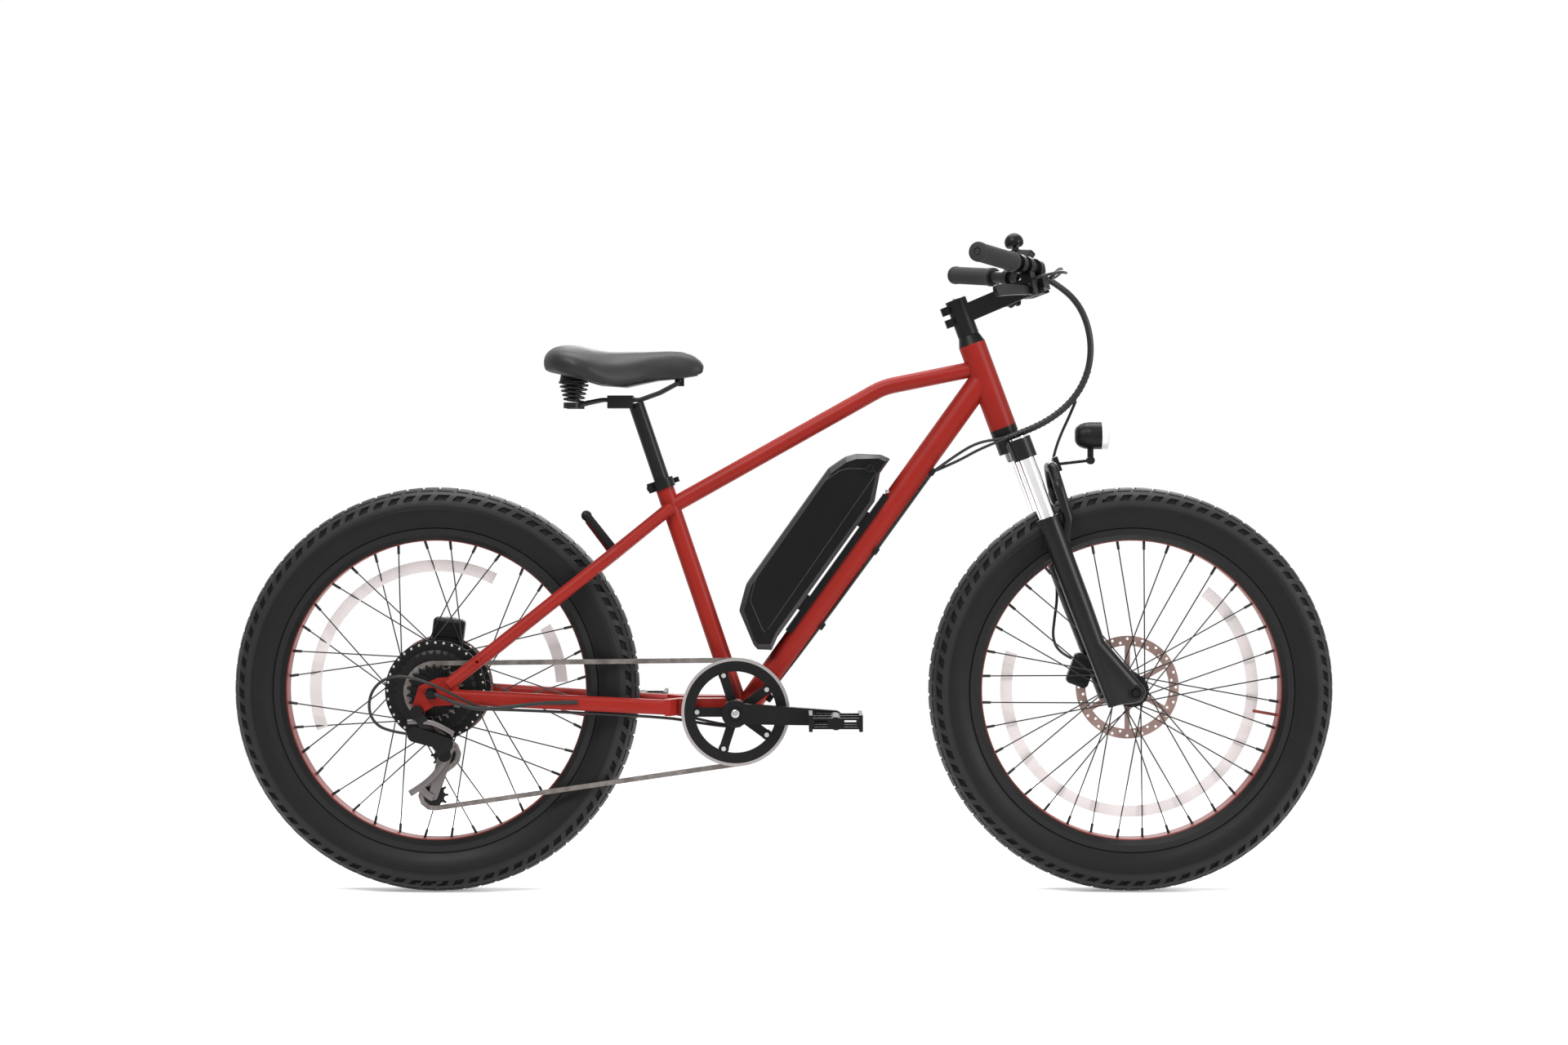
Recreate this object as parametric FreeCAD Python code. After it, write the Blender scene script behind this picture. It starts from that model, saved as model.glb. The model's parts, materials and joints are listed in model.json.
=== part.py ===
import FreeCAD, Part
import math
import os
from FreeCAD import Placement, Rotation, Vector

# Fat tyre bicycle with a rear hub motor and a battery on the down tube.
# Millimetres. +X is forward, +Y is the rider's left, +Z is up.
# The origin is on the ground, midway between the two axles.

# Fits
fit_gap = 0.3
press_gap = 0.05
overrun = 4.0
sunk = 2.0

# Wheels
wheelbase = 1200.0
tyre_radius = 350.0
tyre_section_height = 71.0
tyre_width = 88.0
tyre_wall = 5.0
tyre_side_rise = 36.0
tyre_shoulder_drop = 12.0
tyre_shoulder_width = 68.0
tyre_bead_width = 6.0
rim_flange_height = 10.5
rim_bed_drop = 21.0
rim_width = 68.0
rim_bed_width = 40.0
rim_wall = 3.0
spoke_count = 36
spoke_radius = 1.1
spoke_seat_depth = 4.0
spoke_flange_offset = 1.6
spoke_rim_side = 6.0
nipple_radius = 2.4
nipple_length = 15.0
valve_radius = 2.6
valve_length = 42.0
valve_angle_deg = -10.0
rotor_radius = 90.0
rotor_track = 17.0
rotor_thickness = 2.0
rotor_hub_ring = 12.0
rotor_arm_count = 6
rotor_arm_width = 9.0
rotor_hole_radius = 2.4
rotor_hole_count = 40
rotor_hole_shares = (0.3, 0.7)

# Front hub and axle
front_dropout_side = 62.0
axle_radius = 6.0
axle_end_length = 14.0
axle_nut_flat = 19.0
axle_nut_length = 9.0
front_flange_radius = 29.0
front_flange_side = 29.0
front_cross_angle = 56.0
flange_thickness = 4.0
front_barrel_radius = 16.0
hub_cap_radius = 12.0
rotor_mount_radius = 24.0
front_rotor_side = 45.0

# Rear hub motor and axle
rear_dropout_side = 87.5
motor_radius = 80.0
motor_right_side = 36.0
motor_left_side = 46.0
motor_flange_rise = 7.0
motor_cover_drop = 10.0
motor_cover_depth = 5.0
rear_cross_angle = 30.0
freewheel_boss_radius = 16.0
rear_rotor_side = 62.0

# Frame tubes
head_tilt_deg = 20.5
fork_rake = 48.5
fork_over_tyre = 140.0
headset_height = 12.0
headset_cap_height = 16.0
headset_cap_radius = 18.0
head_tube_length = 154.0
head_tube_radius = 23.5
head_tube_wall = 3.0
chainstay_reach = 517.0
bb_drop = 35.0
bb_shell_radius = 21.0
bb_shell_wall = 3.5
bb_shell_width = 83.0
seat_tube_radius = 15.9
seat_tube_wall = 1.9
seat_tube_tilt_deg = 18.7
seat_tube_length = 414.0
seat_tube_ahead = 6.0
down_tube_radius = 21.0
down_tube_wall = 2.0
down_tube_head_rise = 94.0
down_tube_foot_ahead = 13.0
down_tube_foot_drop = 4.0
top_tube_radius = 14.0
top_tube_wall = 1.8
top_tube_head_rise = 111.0
top_tube_drop = 45.0
top_tube_bend_back = 168.0
top_tube_bend_drop = 34.0
top_tube_bend_radius = 110.0
stay_tyre_gap = 7.0
seatstay_radius = 11.0
seatstay_drop = 46.0
seatstay_root_side = 17.0
seatstay_bend_back = 96.0
seatstay_bend_drop = 78.0
seatstay_bend_radius = 60.0
seatstay_end_ahead = 28.0
seatstay_end_rise = 14.0
bridge_radius = 8.0
bridge_share = 0.8
chainstay_height = 26.0
chainstay_width = 18.0
chainstay_front_behind = 112.0
chainstay_front_rise = 8.0
chainstay_end_ahead = 30.0
chainstay_end_drop = 6.0
yoke_turn_share = 0.87
yoke_height = 28.0
yoke_root_width = 24.0
yoke_ring_gap = 6.0
dropout_thickness = 7.0
dropout_height = 48.0
dropout_ahead = 46.0
dropout_behind = 22.0
# outline in shares of the plate's reach ahead or behind and of its height
dropout_front_shares = ((0.1, -0.46), (1.0, -0.4), (1.0, 0.2), (0.74, 0.58), (0.2, 0.54))
dropout_back_shares = ((1.0, 0.25), (1.0, -0.3))
hanger_behind = 24.0
hanger_drop = 31.0
hanger_eye_radius = 12.0
hanger_hole_radius = 5.0
eyelet_radius = 7.0
eyelet_hole_radius = 2.5
eyelet_length = 9.0
eyelet_share = 0.82

# Seat
seatpost_radius = 13.6
seatpost_wall = 2.2
seatpost_rise = 144.0
seatpost_insert = 220.0
seatpost_head_length = 44.0
seatpost_head_height = 22.0
seatpost_head_width = 58.0
seatpost_head_back = 26.0
seatpost_head_rise = 2.0
collar_height = 17.0
collar_wall = 3.4
collar_proud = 5.0
collar_slot = 2.4
collar_ear_length = 10.0
collar_ear_width = 13.0
clamp_bolt_radius = 2.5
clamp_lever_length = 52.0
clamp_lever_width = 9.0
clamp_lever_thickness = 5.0
clamp_lever_hub_radius = 6.0
saddle_length = 282.0
saddle_width = 196.0
saddle_back_behind = 132.4
saddle_rise = 24.5
saddle_depth = 72.0
saddle_base_depth = 5.0
saddle_rail_radius = 3.5
saddle_rail_bend = 18.6
saddle_spring_side = 40.0
spring_wire_radius = 2.0
spring_top_radius = 22.0
spring_bottom_radius = 13.0
spring_turns = 4.5
spring_cup_height = 3.0
spring_cup_radius = 15.5
spring_path_count = 24
saddle_socket_length = 16.0
saddle_socket_height = 13.0
# along the saddle from tail to nose: half width, top height and bottom height
saddle_station_shares = (0.0, 0.04, 0.12, 0.34, 0.5, 0.7, 0.82, 0.94, 1.0)
saddle_width_shares = (0.40, 0.72, 0.95, 0.92, 0.64, 0.38, 0.30, 0.24, 0.13)
saddle_top_shares = (0.60, 0.89, 0.995, 0.84, 0.80, 0.82, 0.83, 0.70, 0.45)
saddle_bottom_shares = (0.42, 0.37, 0.31, 0.06, 0.01, 0.17, 0.21, 0.29, 0.32)
saddle_side_shares = (0.88, 0.45, 0.80, 0.80)
saddle_base_width_share = 0.74
saddle_skirt_shares = (0.0, 0.0, 0.0, 0.0, 0.0, 0.03, 0.09, 0.12, 0.09)
# rail points ahead of the clamp, above it and out to the side, nose to tail
saddle_rail_shares = (
    (0.36, 0.47, 0.40), (0.24, 0.22, 0.55), (0.12, 0.05, 0.55), (-0.11, 0.05, 0.55),
    (-0.20, -0.02, 0.80), (-0.287, -0.11, 1.0))

# Battery
battery_start = 104.0
battery_length = 399.0
battery_reach = 102.0
battery_seat = 24.0
battery_width = 88.0
battery_bevel = 8.0
battery_wall = 3.0
battery_rail_width = 34.0
battery_rail_wall = 2.5
battery_rail_inset = 54.0
battery_cleat_length = 30.0
battery_cleat_inset = 96.0
cell_radius = 9.2
cell_length = 65.0
cell_gap = 0.8
cell_rows = 4
cell_columns = 14
cell_holder_thickness = 2.5
cell_along_share = 0.13
cell_out_share = 0.20
lock_radius = 8.0
lock_length = 6.0
lock_key_width = 2.0
lock_key_depth = 3.0
lock_along_share = 0.917
lock_out_share = 0.44
# outline in shares of the battery's length and reach, foot to head
battery_outline_shares = (
    (0.033, 0.0), (0.0, 0.196), (0.005, 0.294), (0.088, 0.824), (0.2, 0.99), (0.815, 1.0), (0.895, 0.882),
    (0.932, 0.765), (0.992, 0.412), (1.0, 0.255), (0.925, 0.255), (0.812, 0.049), (0.093, 0.049))
battery_floor_share = 0.049

# Fork
stanchion_radius = 15.0
stanchion_wall = 2.5
stanchion_ahead = 13.0
stanchion_foot = 120.0
leg_radius = 19.5
leg_bore_gap = 0.4
leg_under_tyre = 26.0
leg_foot_radius = 16.0
leg_taper_rise = 180.0
leg_foot = 9.0
leg_bore_foot = 30.0
fork_tyre_gap = 6.5
seal_height = 9.0
seal_radius = 20.5
damper_rod_radius = 5.0
damper_rod_length = 190.0
damper_piston_height = 8.0
lug_thickness = 13.0
lug_radius = 15.0
lug_rise = 52.0
arch_radius = 9.0
arch_root_drop = 42.0
arch_shoulder_drop = 8.0
arch_shoulder_ahead = 32.5
arch_knee_ahead = 37.0
arch_root_ahead = 12.0
arch_rise = 86.0
arch_ahead = 41.0
arch_top_half = 36.0
arch_knee_share = 0.62
arch_knee_side_share = 0.94
arch_bend_radius = 22.0
crown_clamp_radius = 20.5
crown_clamp_height = 36.0
crown_drop = 14.0
crown_depth = 30.0
crown_bridge_share = 0.8
crown_boss_radius = 22.5
crown_cap_height = 3.0
steerer_radius = 14.3
steerer_wall = 2.3

# Stem and handlebar
stem_clamp_height = 60.7
stem_clamp_radius = 18.5
stem_reach = 131.0
stem_bar_over_foot = 42.7
stem_arm_width = 30.0
stem_arm_height = 32.0
stem_arm_drop_share = 0.75
stem_bar_clamp_radius = 22.0
stem_bar_clamp_width = 46.0
stem_ear_reach = 8.0
stem_ear_length = 14.0
stem_ear_width = 20.0
stem_ear_shares = (0.5, 0.86)
stem_bolt_head_radius = 4.6
stem_bolt_head_length = 5.0
stem_cap_height = 5.0
stem_face_depth = 20.0
stem_face_bolt_share = 0.8
bar_radius = 11.1
bar_wall = 2.0
bar_clamp_radius = 15.9
bar_clamp_width = 96.0
bar_half_width = 330.0
bar_flat_half = 62.0
bar_knee_half = 130.0
bar_knee_ahead = 5.0
bar_knee_rise = 19.0
bar_end_back = 112.0
bar_end_rise = 37.0
bar_bend_radius = 45.0
grip_length = 125.0
grip_radius = 15.5
grip_collar_radius = 17.0
grip_collar_length = 12.0
grip_cap_thickness = 4.0

# Controls on the handlebar, each placed by its distance from the bar's end
bell_place = 148.0
brake_place = 176.0
shifter_place = 212.0
bracket_ring_radius = 16.0
bracket_ring_width = 14.0
brake_drop = 44.0
brake_body_drop = 24.0
brake_body_back = 10.0
brake_forward_share = 0.30
brake_cheek_thickness = 4.0
brake_cheek_radius = 9.0
lever_eye_radius = 7.0
lever_eye_height = 10.0
lever_pin_radius = 3.0
lever_reach = 142.0
lever_blade_thickness = 7.0
# outline in shares of the lever's reach and its eye's radius, out along the upper edge, back along the lower
lever_outline_shares = (
    (0.0, -0.9), ((0.5, -0.25), (0.95, 1.0)), ((1.0, 2.3), (0.9, 3.6)), ((0.45, 2.1), (0.0, 0.9)))
brake_body_radius = 9.0
brake_body_length = 30.0
shifter_pod_length = 24.0
shifter_pod_width = 30.0
shifter_pod_height = 26.0
shifter_pod_drop = 26.0
shift_lever_length = 30.0
shift_lever_width = 12.0
shift_lever_thickness = 5.0
shift_hub_radius = 8.0
shift_hub_height = 6.0
bell_radius = 15.0
bell_height = 20.0
bell_rise = 30.0
bell_base_thickness = 2.0
bell_bulge_shares = (0.78, 0.3)
bell_wall = 1.5
bell_stalk_radius = 3.0
striker_length = 24.0
striker_eye_radius = 6.0
striker_eye_height = 4.0
striker_rise = 24.0
striker_radius = 1.5
striker_knob_radius = 4.0
display_width = 62.0
display_height = 40.0
display_thickness = 15.0
display_rise = 34.0
display_tilt_deg = 38.0
display_screen_depth = 1.5
display_border = 4.0
display_screen_border = 6.0
display_stalk_radius = 4.7

# Headlight and tail light
headlight_radius = 24.0
headlight_length = 55.0
headlight_wall = 2.5
lens_thickness = 6.0
headlight_over_tyre = 46.0
headlight_hinge_ahead = 122.0
headlight_over_hinge = 43.0
headlight_back_share = 0.48
# outline in shares of the headlight's length and radius, back to front
headlight_outline_shares = ((0.0, 0.45), (0.05, 0.66), (0.14, 0.83), (0.28, 0.95), (0.45, 1.0), (1.0, 1.0))
headlight_lug_length = 10.0
hinge_pin_radius = 3.0
hinge_eye_radius = 7.0
hinge_eye_width = 8.0
hinge_eye_room = 1.5
light_bracket_width = 20.0
light_bracket_thickness = 5.0
light_foot_height = 26.0
light_foot_depth = 9.0
tail_light_radius = 8.0
tail_light_length = 92.0
tail_light_share = 0.9
tail_light_gap = 9.0
tail_light_clip_width = 22.0

# Drive
chain_pitch = 12.7
ring_teeth = 44
sprocket_teeth = (14, 16, 18, 20, 22, 24, 34)
drive_index = 5
jockey_teeth = 11
sprocket_pitch = 4.75
chain_line = 54.5
tooth_thickness = 1.8
tooth_rise = 2.6
tooth_tip_share = 0.22
tooth_flank_deg = 62.0
roller_radius = 3.85
roller_gap = 0.4
roller_width = 2.4
link_plate_thickness = 0.9
link_plate_gap = 0.15
link_plate_radius = 4.1
pin_radius = 1.8
pin_gap = 0.15
pin_proud = 0.2
ring_rim_depth = 19.0
guard_radius = 93.0
guard_thickness = 2.0
ring_tab_radius = 9.0
ring_bolt_radius = 4.0
ring_bolt_circle = 66.0
spider_arm_count = 5
spider_arm_width = 16.0
spider_thickness = 5.0
spider_hub_radius = 21.0
crank_length = 170.0
crank_angle_deg = -2.5
crank_side = 79.0
crank_thickness = 14.0
crank_root_radius = 18.0
crank_end_radius = 13.0
spindle_radius = 9.0
pedal_length = 90.0
pedal_width = 98.0
pedal_height = 28.0
pedal_bar_share = 0.67
pedal_window_share = 0.6
pedal_window_length = 22.0
pedal_axle_radius = 7.0
pedal_barrel_radius = 11.0
pedal_gap = 9.0
pedal_rail_thickness = 6.0
pedal_bar_count = 3
freewheel_core_wall = 6.0
upper_jockey_ahead = 19.0
upper_jockey_drop = 108.0
jockey_distance = 73.0
cage_nominal_deg = 250.0
cage_search_deg = 14.0
cage_search_steps = 60
cage_plate_thickness = 2.0
cage_root_half = 12.0
cage_plate_half = 8.0
cage_side = 6.5
jockey_axle_radius = 2.5
jockey_hub_radius = 7.0
derailleur_knuckle_radius = 11.0
derailleur_link_width = 18.0
derailleur_link_thickness = 12.0
derailleur_knuckle_length = 16.0
hanger_knuckle_length = 21.0
hanger_link_share = 0.65
derailleur_pin_radius = 4.0
derailleur_shell_length = 57.0
derailleur_shell_radius = 13.0
derailleur_shell_nose = 11.0
derailleur_shell_width = 28.0
derailleur_shell_drop_deg = 17.0
derailleur_shell_back = 25.5

# Brakes
caliper_length = 56.0
caliper_height = 40.0
caliper_inner_half = 12.0
caliper_outer_half = 18.0
caliper_slot_gap = 0.9
caliper_bracket_width = 18.0
caliper_bracket_start = 20.0
front_caliper_angle_deg = 160.0
rear_caliper_angle_deg = 83.0
front_caliper_radius = 86.0
rear_caliper_radius = 101.0
caliper_rotor_room = 2.0
caliper_round = 8.0

# Cables: points chosen by hand along each route
cable_radius = 2.5
motor_cable_radius = 3.5
sleeve_radius = 5.5
cable_corner_share = 0.45
down_tube_cable_side = 6.0
down_tube_cable_start = 528.0
down_tube_cable_end = -14.0
sleeve_end_along = 532.0
sleeve_route = (
    (452, -36, 1058), (478, -45, 1042), (506, -52, 1012), (522, -54, 972), (526, -54, 930),
    (518, -53, 889), (497, -51, 852), (464, -48, 822), (424, -44, 800), (380, -38, 784),
    (336, -28, 768), (298, -14, 746))
right_hose_route = (
    (438, -194.5, 1057), (466, -178, 1062), (476, -140, 1062), (476, -100, 1066), (466, -62, 1070),
    (455, -38, 1058))
left_hose_route = (
    (438, 194.5, 1057), (468, 168, 1065), (484, 114, 1072), (486, 66, 1078), (482, 26, 1081),
    (472, -12, 1076), (455, -35, 1059))
front_hose_route = (
    (500, -46, 848), (498, -22, 822), (490, 12, 792), (480, 50, 762), (470, 84, 722), (468, 100, 676),
    (472, 103, 620), (478, 102, 560), (483, 100, 508), (477, 96, 466), (472, 80, 434), (482, 62, 410),
    (503.6, 54, 399.7))
shift_cable_route = (
    (-100, -14, 286), (-150, -34, 295), (-208, -58, 307), (-470, -83, 321.4), (-508, -97, 322.5),
    (-540, -107.5, 337), (-573, -113, 356), (-607, -114.5, 371), (-643, -111, 381), (-676, -105.5, 378),
    (-700, -99, 358), (-708, -95, 330), (-702, -92, 304), (-680, -90, 286), (-641.4, -89.7, 280.5))
rear_hose_route = (
    (-100, 14, 286), (-150, 34, 295), (-208, 58, 307), (-420, 76, 318), (-480, 94, 324), (-524, 108, 344),
    (-550, 114, 380), (-562, 117, 416), (-575, 108, 440), (-586, 89.2, 449))
motor_cable_route = (
    (-593.6, -110.5, 350), (-575, -111.5, 343), (-552, -113, 333), (-525, -113, 325.5), (-495, -110, 325),
    (-450, -105, 330), (-402, -95.5, 334.5), (-352, -86.4, 334))


# Basic shapes

X_DIRECTION = Vector(1, 0, 0)
Y_DIRECTION = Vector(0, 1, 0)
Z_DIRECTION = Vector(0, 0, 1)


def rod(start, end, radius):
    run = end - start
    return Part.makeCylinder(radius, run.Length, start, run)


def tube(start, end, radius, bore):
    along = (end - start).normalize() * overrun
    return rod(start, end, radius).cut(rod(start - along, end + along, bore))


def taper(start, end, start_radius, end_radius):
    run = end - start
    return Part.makeCone(start_radius, end_radius, run.Length, start, run)


def block(center, along, across, length, width, height):
    """A box about a centre: length runs along, width runs across, height is square to both."""
    rise = along.cross(across)
    shape = Part.makeBox(length, width, height, Vector(-length / 2, -width / 2, -height / 2))
    shape.Placement = Placement(center, Rotation(along, across, rise, "XYZ"))
    return shape


def outline(place, start, *steps):
    """A closed wire: a step is a point for a line, or a (via, end) pair of points for an arc."""
    edges = []
    here = place(*start)
    for step in steps + (start,):
        if isinstance(step[0], tuple):
            end = place(*step[1])
            edges.append(Part.Arc(here, place(*step[0]), end).toShape())
        else:
            end = place(*step)
            if (end - here).Length > press_gap:
                edges.append(Part.LineSegment(here, end).toShape())
        here = end
    return Part.Wire(edges)


def wheel_plane(side, radius):
    return Vector(radius, side, 0)


def side_plane(x, z):
    return Vector(x, 0, z)


def turned(wire):
    """A profile in the wheel plane, turned about the Y axis."""
    return Part.Face(wire).revolve(Vector(0, 0, 0), Y_DIRECTION, 360)


def side_plate(wire, start_side, end_side):
    """A profile in the side plane, given its width from one side to the other."""
    plate = Part.Face(wire).extrude(Vector(0, end_side - start_side, 0))
    plate.translate(Vector(0, start_side, 0))
    return plate


def stepped_rod(start, direction, steps):
    """One turned rod: steps are (distance along, radius) pairs."""
    points = [Vector(0, 0, steps[0][0])]
    points += [Vector(radius, 0, along) for along, radius in steps]
    points += [Vector(0, 0, steps[-1][0]), Vector(0, 0, steps[0][0])]
    solid = Part.Face(Part.makePolygon(points)).revolve(Vector(0, 0, 0), Z_DIRECTION, 360)
    solid.Placement = Placement(start, Rotation(Z_DIRECTION, direction))
    return solid


def corner_arc(start, corner, end):
    """The arc tangent to both legs of a corner whose legs are equally long."""
    toward_start = (start - corner).normalize()
    toward_end = (end - corner).normalize()
    half_turn = (math.pi - toward_start.getAngle(toward_end)) / 2
    leg = (start - corner).Length
    radius = leg / math.tan(half_turn)
    inward = (toward_start + toward_end).normalize()
    middle = corner + inward * (radius / math.cos(half_turn) - radius)
    return Part.Arc(start, middle, end).toShape(), radius


def run_path(points, leg_length):
    """Straight runs joined by tangent arcs; leg_length gives how far an arc reaches from its corner."""
    edges = []
    radii = []
    here = points[0]
    for before, corner, after in zip(points, points[1:], points[2:]):
        back = before - corner
        ahead = after - corner
        leg = leg_length(back, ahead)
        start = corner + back * (leg / back.Length)
        end = corner + ahead * (leg / ahead.Length)
        if (start - here).Length > press_gap:
            edges.append(Part.LineSegment(here, start).toShape())
        arc, radius = corner_arc(start, corner, end)
        edges.append(arc)
        radii.append(radius)
        here = end
    edges.append(Part.LineSegment(here, points[-1]).toShape())
    return Part.Wire(edges), radii


def bend_leg(bend_radius):
    def leg(back, ahead):
        half_turn = (math.pi - back.getAngle(ahead)) / 2
        return bend_radius * math.tan(half_turn)
    return leg


def cable_leg(back, ahead):
    return cable_corner_share * min(back.Length, ahead.Length)


def swept(path, radius):
    first = path.OrderedEdges[0]
    start = first.valueAt(first.FirstParameter)
    tangent = first.tangentAt(first.FirstParameter)
    section = Part.Wire(Part.makeCircle(radius, start, tangent))
    return path.makePipeShell([section], True, False)


def bent_rod(points, radius, bend_radius):
    return swept(run_path(points, bend_leg(bend_radius))[0], radius)


def bent_tube(points, radius, bore, bend_radius):
    return bent_rod(points, radius, bend_radius).cut(bent_rod(points, bore, bend_radius))


def cable(name, route, radius):
    points = [Vector(*point) for point in route]
    path, radii = run_path(points, cable_leg)
    print(name, "length", round(path.Length), "least bend radius", round(min(radii)))
    return swept(path, radius)


def joined(first, *others):
    return first.multiFuse(list(others)).removeSplitter()


def mirrored(shape):
    return shape.mirror(Vector(0, 0, 0), Y_DIRECTION)


def both_sides(shape):
    return [shape, mirrored(shape)]


def hex_prism(start, direction, flat, length):
    corner = flat / math.sqrt(3)
    points = []
    for index in range(7):
        angle = math.radians(60 * index)
        points.append(Vector(corner * math.cos(angle), corner * math.sin(angle), 0))
    nut = Part.Face(Part.makePolygon(points)).extrude(Vector(0, 0, length))
    nut.Placement = Placement(start, Rotation(Z_DIRECTION, direction))
    return nut


def polar(radius, angle):
    return Vector(radius * math.cos(angle), 0, radius * math.sin(angle))


nodes = {}


def node(name, *shapes):
    nodes[name] = Part.makeCompound(list(shapes)) if len(shapes) > 1 else shapes[0]


# Places worked out from the driving dimensions

head_tilt = math.radians(head_tilt_deg)
steer_up = Vector(-math.sin(head_tilt), 0, math.cos(head_tilt))
steer_ahead = Vector(math.cos(head_tilt), 0, math.sin(head_tilt))
front_center = Vector(wheelbase / 2, 0, tyre_radius)
rear_center = Vector(-wheelbase / 2, 0, tyre_radius)
bb_behind = wheelbase / 2 - chainstay_reach
rim_flange_radius = tyre_radius - tyre_section_height
rim_knee_radius = rim_flange_radius - rim_flange_height
rim_bed_radius = rim_flange_radius - rim_bed_drop
fork_length = tyre_radius + fork_over_tyre
leg_top = tyre_radius - leg_under_tyre
headlight_hinge_rise = tyre_radius + headlight_over_tyre
steer_foot = front_center - steer_ahead * fork_rake
bb_center = Vector(-bb_behind, 0, tyre_radius - bb_drop)
leg_side = tyre_width / 2 + fork_tyre_gap + leg_radius
seat_tilt = math.radians(seat_tube_tilt_deg)
seat_up = Vector(-math.sin(seat_tilt), 0, math.cos(seat_tilt))
seat_ahead = Vector(math.cos(seat_tilt), 0, math.sin(seat_tilt))
seat_foot = bb_center + seat_ahead * seat_tube_ahead
seat_top = seat_foot + seat_up * seat_tube_length
head_foot_rise = fork_length + headset_height
head_top_rise = head_foot_rise + head_tube_length
stem_foot = head_top_rise + headset_cap_height + fit_gap
steerer_end = stem_foot + stem_clamp_height
stem_bar_rise = stem_foot + stem_bar_over_foot


def steer_point(rise, ahead, side=0.0):
    return steer_foot + steer_up * rise + steer_ahead * ahead + Y_DIRECTION * side


down_head = steer_point(head_foot_rise + down_tube_head_rise, 0)
down_foot = bb_center + Vector(down_tube_foot_ahead, 0, -down_tube_foot_drop)
down_run = (down_head - down_foot).normalize()
down_out = Vector(-down_run.z, 0, down_run.x)


def down_point(along, out, side=0.0):
    return down_foot + down_run * along + down_out * out + Y_DIRECTION * side


# Wheels

def make_tyre():
    bead_out = rim_width / 2 - rim_wall - fit_gap
    bead_in = bead_out - tyre_bead_width
    seat = rim_knee_radius + rim_wall + fit_gap
    lip = rim_flange_radius + 2 * fit_gap
    wide = rim_flange_radius + tyre_side_rise
    shoulder = tyre_radius - tyre_shoulder_drop
    half = tyre_width / 2
    shoulder_half = tyre_shoulder_width / 2
    inner_half = shoulder_half - tyre_wall / 2
    inner_shoulder = shoulder - tyre_wall
    return turned(outline(
        wheel_plane, (-bead_out, seat), (-bead_out, lip),
        ((-half, wide), (-shoulder_half, shoulder)), ((0, tyre_radius), (shoulder_half, shoulder)),
        ((half, wide), (bead_out, lip)), (bead_out, seat), (bead_in, seat), (bead_in, rim_flange_radius),
        ((half - tyre_wall, wide), (inner_half, inner_shoulder)),
        ((0, tyre_radius - tyre_wall), (-inner_half, inner_shoulder)),
        ((tyre_wall - half, wide), (-bead_in, rim_flange_radius)), (-bead_in, seat)))


def make_rim():
    half = rim_width / 2
    bed = rim_bed_width / 2
    inner_bed = bed - rim_wall / 2
    inner = half - rim_wall
    return turned(outline(
        wheel_plane, (-half, rim_flange_radius), (-half, rim_knee_radius), (-bed, rim_bed_radius),
        (bed, rim_bed_radius), (half, rim_knee_radius), (half, rim_flange_radius),
        (inner, rim_flange_radius), (inner, rim_knee_radius + rim_wall / 2),
        (inner_bed, rim_bed_radius + rim_wall), (-inner_bed, rim_bed_radius + rim_wall),
        (-inner, rim_knee_radius + rim_wall / 2), (-inner, rim_flange_radius)))


def make_valve():
    angle = math.radians(valve_angle_deg)
    foot = polar(rim_bed_radius - press_gap, angle)
    return rod(foot, polar(rim_bed_radius - valve_length, angle), valve_radius)


def make_spokes(flange_radius, right_flange, left_flange, cross_angle):
    spokes = []
    for index in range(spoke_count):
        left = index % 2
        trailing = index // 2 % 2
        rim_angle = 2 * math.pi * (index + 0.5) / spoke_count
        turn = math.radians(cross_angle) * (1 if trailing else -1)
        offset = spoke_flange_offset * (1 if trailing else -1)
        flange = left_flange if left else -right_flange
        rim_side = spoke_rim_side if left else -spoke_rim_side
        start = polar(flange_radius - spoke_seat_depth, rim_angle + turn) + Y_DIRECTION * (flange + offset)
        end = polar(rim_bed_radius - press_gap, rim_angle) + Y_DIRECTION * rim_side
        run = end - start
        thread = run.Length - nipple_length
        spokes.append(stepped_rod(start, run, (
            (0, spoke_radius), (thread, spoke_radius), (thread, nipple_radius), (run.Length, nipple_radius))))
    return spokes


def make_rotor(side, bore):
    """A drilled brake ring on arms."""
    outer = Part.Wire(Part.makeCircle(rotor_radius, Vector(0, 0, 0), Y_DIRECTION))
    holes = [Part.Wire(Part.makeCircle(bore, Vector(0, 0, 0), Y_DIRECTION))]
    window_out = rotor_radius - rotor_track
    window_in = rotor_mount_radius + rotor_hub_ring / 2
    step = 2 * math.pi / rotor_arm_count
    for index in range(rotor_arm_count):
        middle = index * step
        outer_half = step / 2 - rotor_arm_width / window_out / 2
        inner_half = step / 2 - rotor_arm_width / window_in / 2
        corners = [
            polar(window_out, middle - outer_half), polar(window_out, middle),
            polar(window_out, middle + outer_half), polar(window_in, middle + inner_half),
            polar(window_in, middle), polar(window_in, middle - inner_half)]
        holes.append(Part.Wire([
            Part.Arc(corners[0], corners[1], corners[2]).toShape(),
            Part.LineSegment(corners[2], corners[3]).toShape(),
            Part.Arc(corners[3], corners[4], corners[5]).toShape(),
            Part.LineSegment(corners[5], corners[0]).toShape()]))
    for index in range(rotor_hole_count):
        angle = 2 * math.pi * index / rotor_hole_count
        reach = rotor_radius - rotor_track * rotor_hole_shares[index % len(rotor_hole_shares)]
        holes.append(Part.Wire(Part.makeCircle(rotor_hole_radius, polar(reach, angle), Y_DIRECTION)))
    face = Part.makeFace([outer] + holes, "Part::FaceMakerBullseye")
    rotor = face.extrude(Y_DIRECTION * rotor_thickness)
    rotor.translate(Y_DIRECTION * (side - rotor_thickness / 2))
    return rotor


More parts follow.
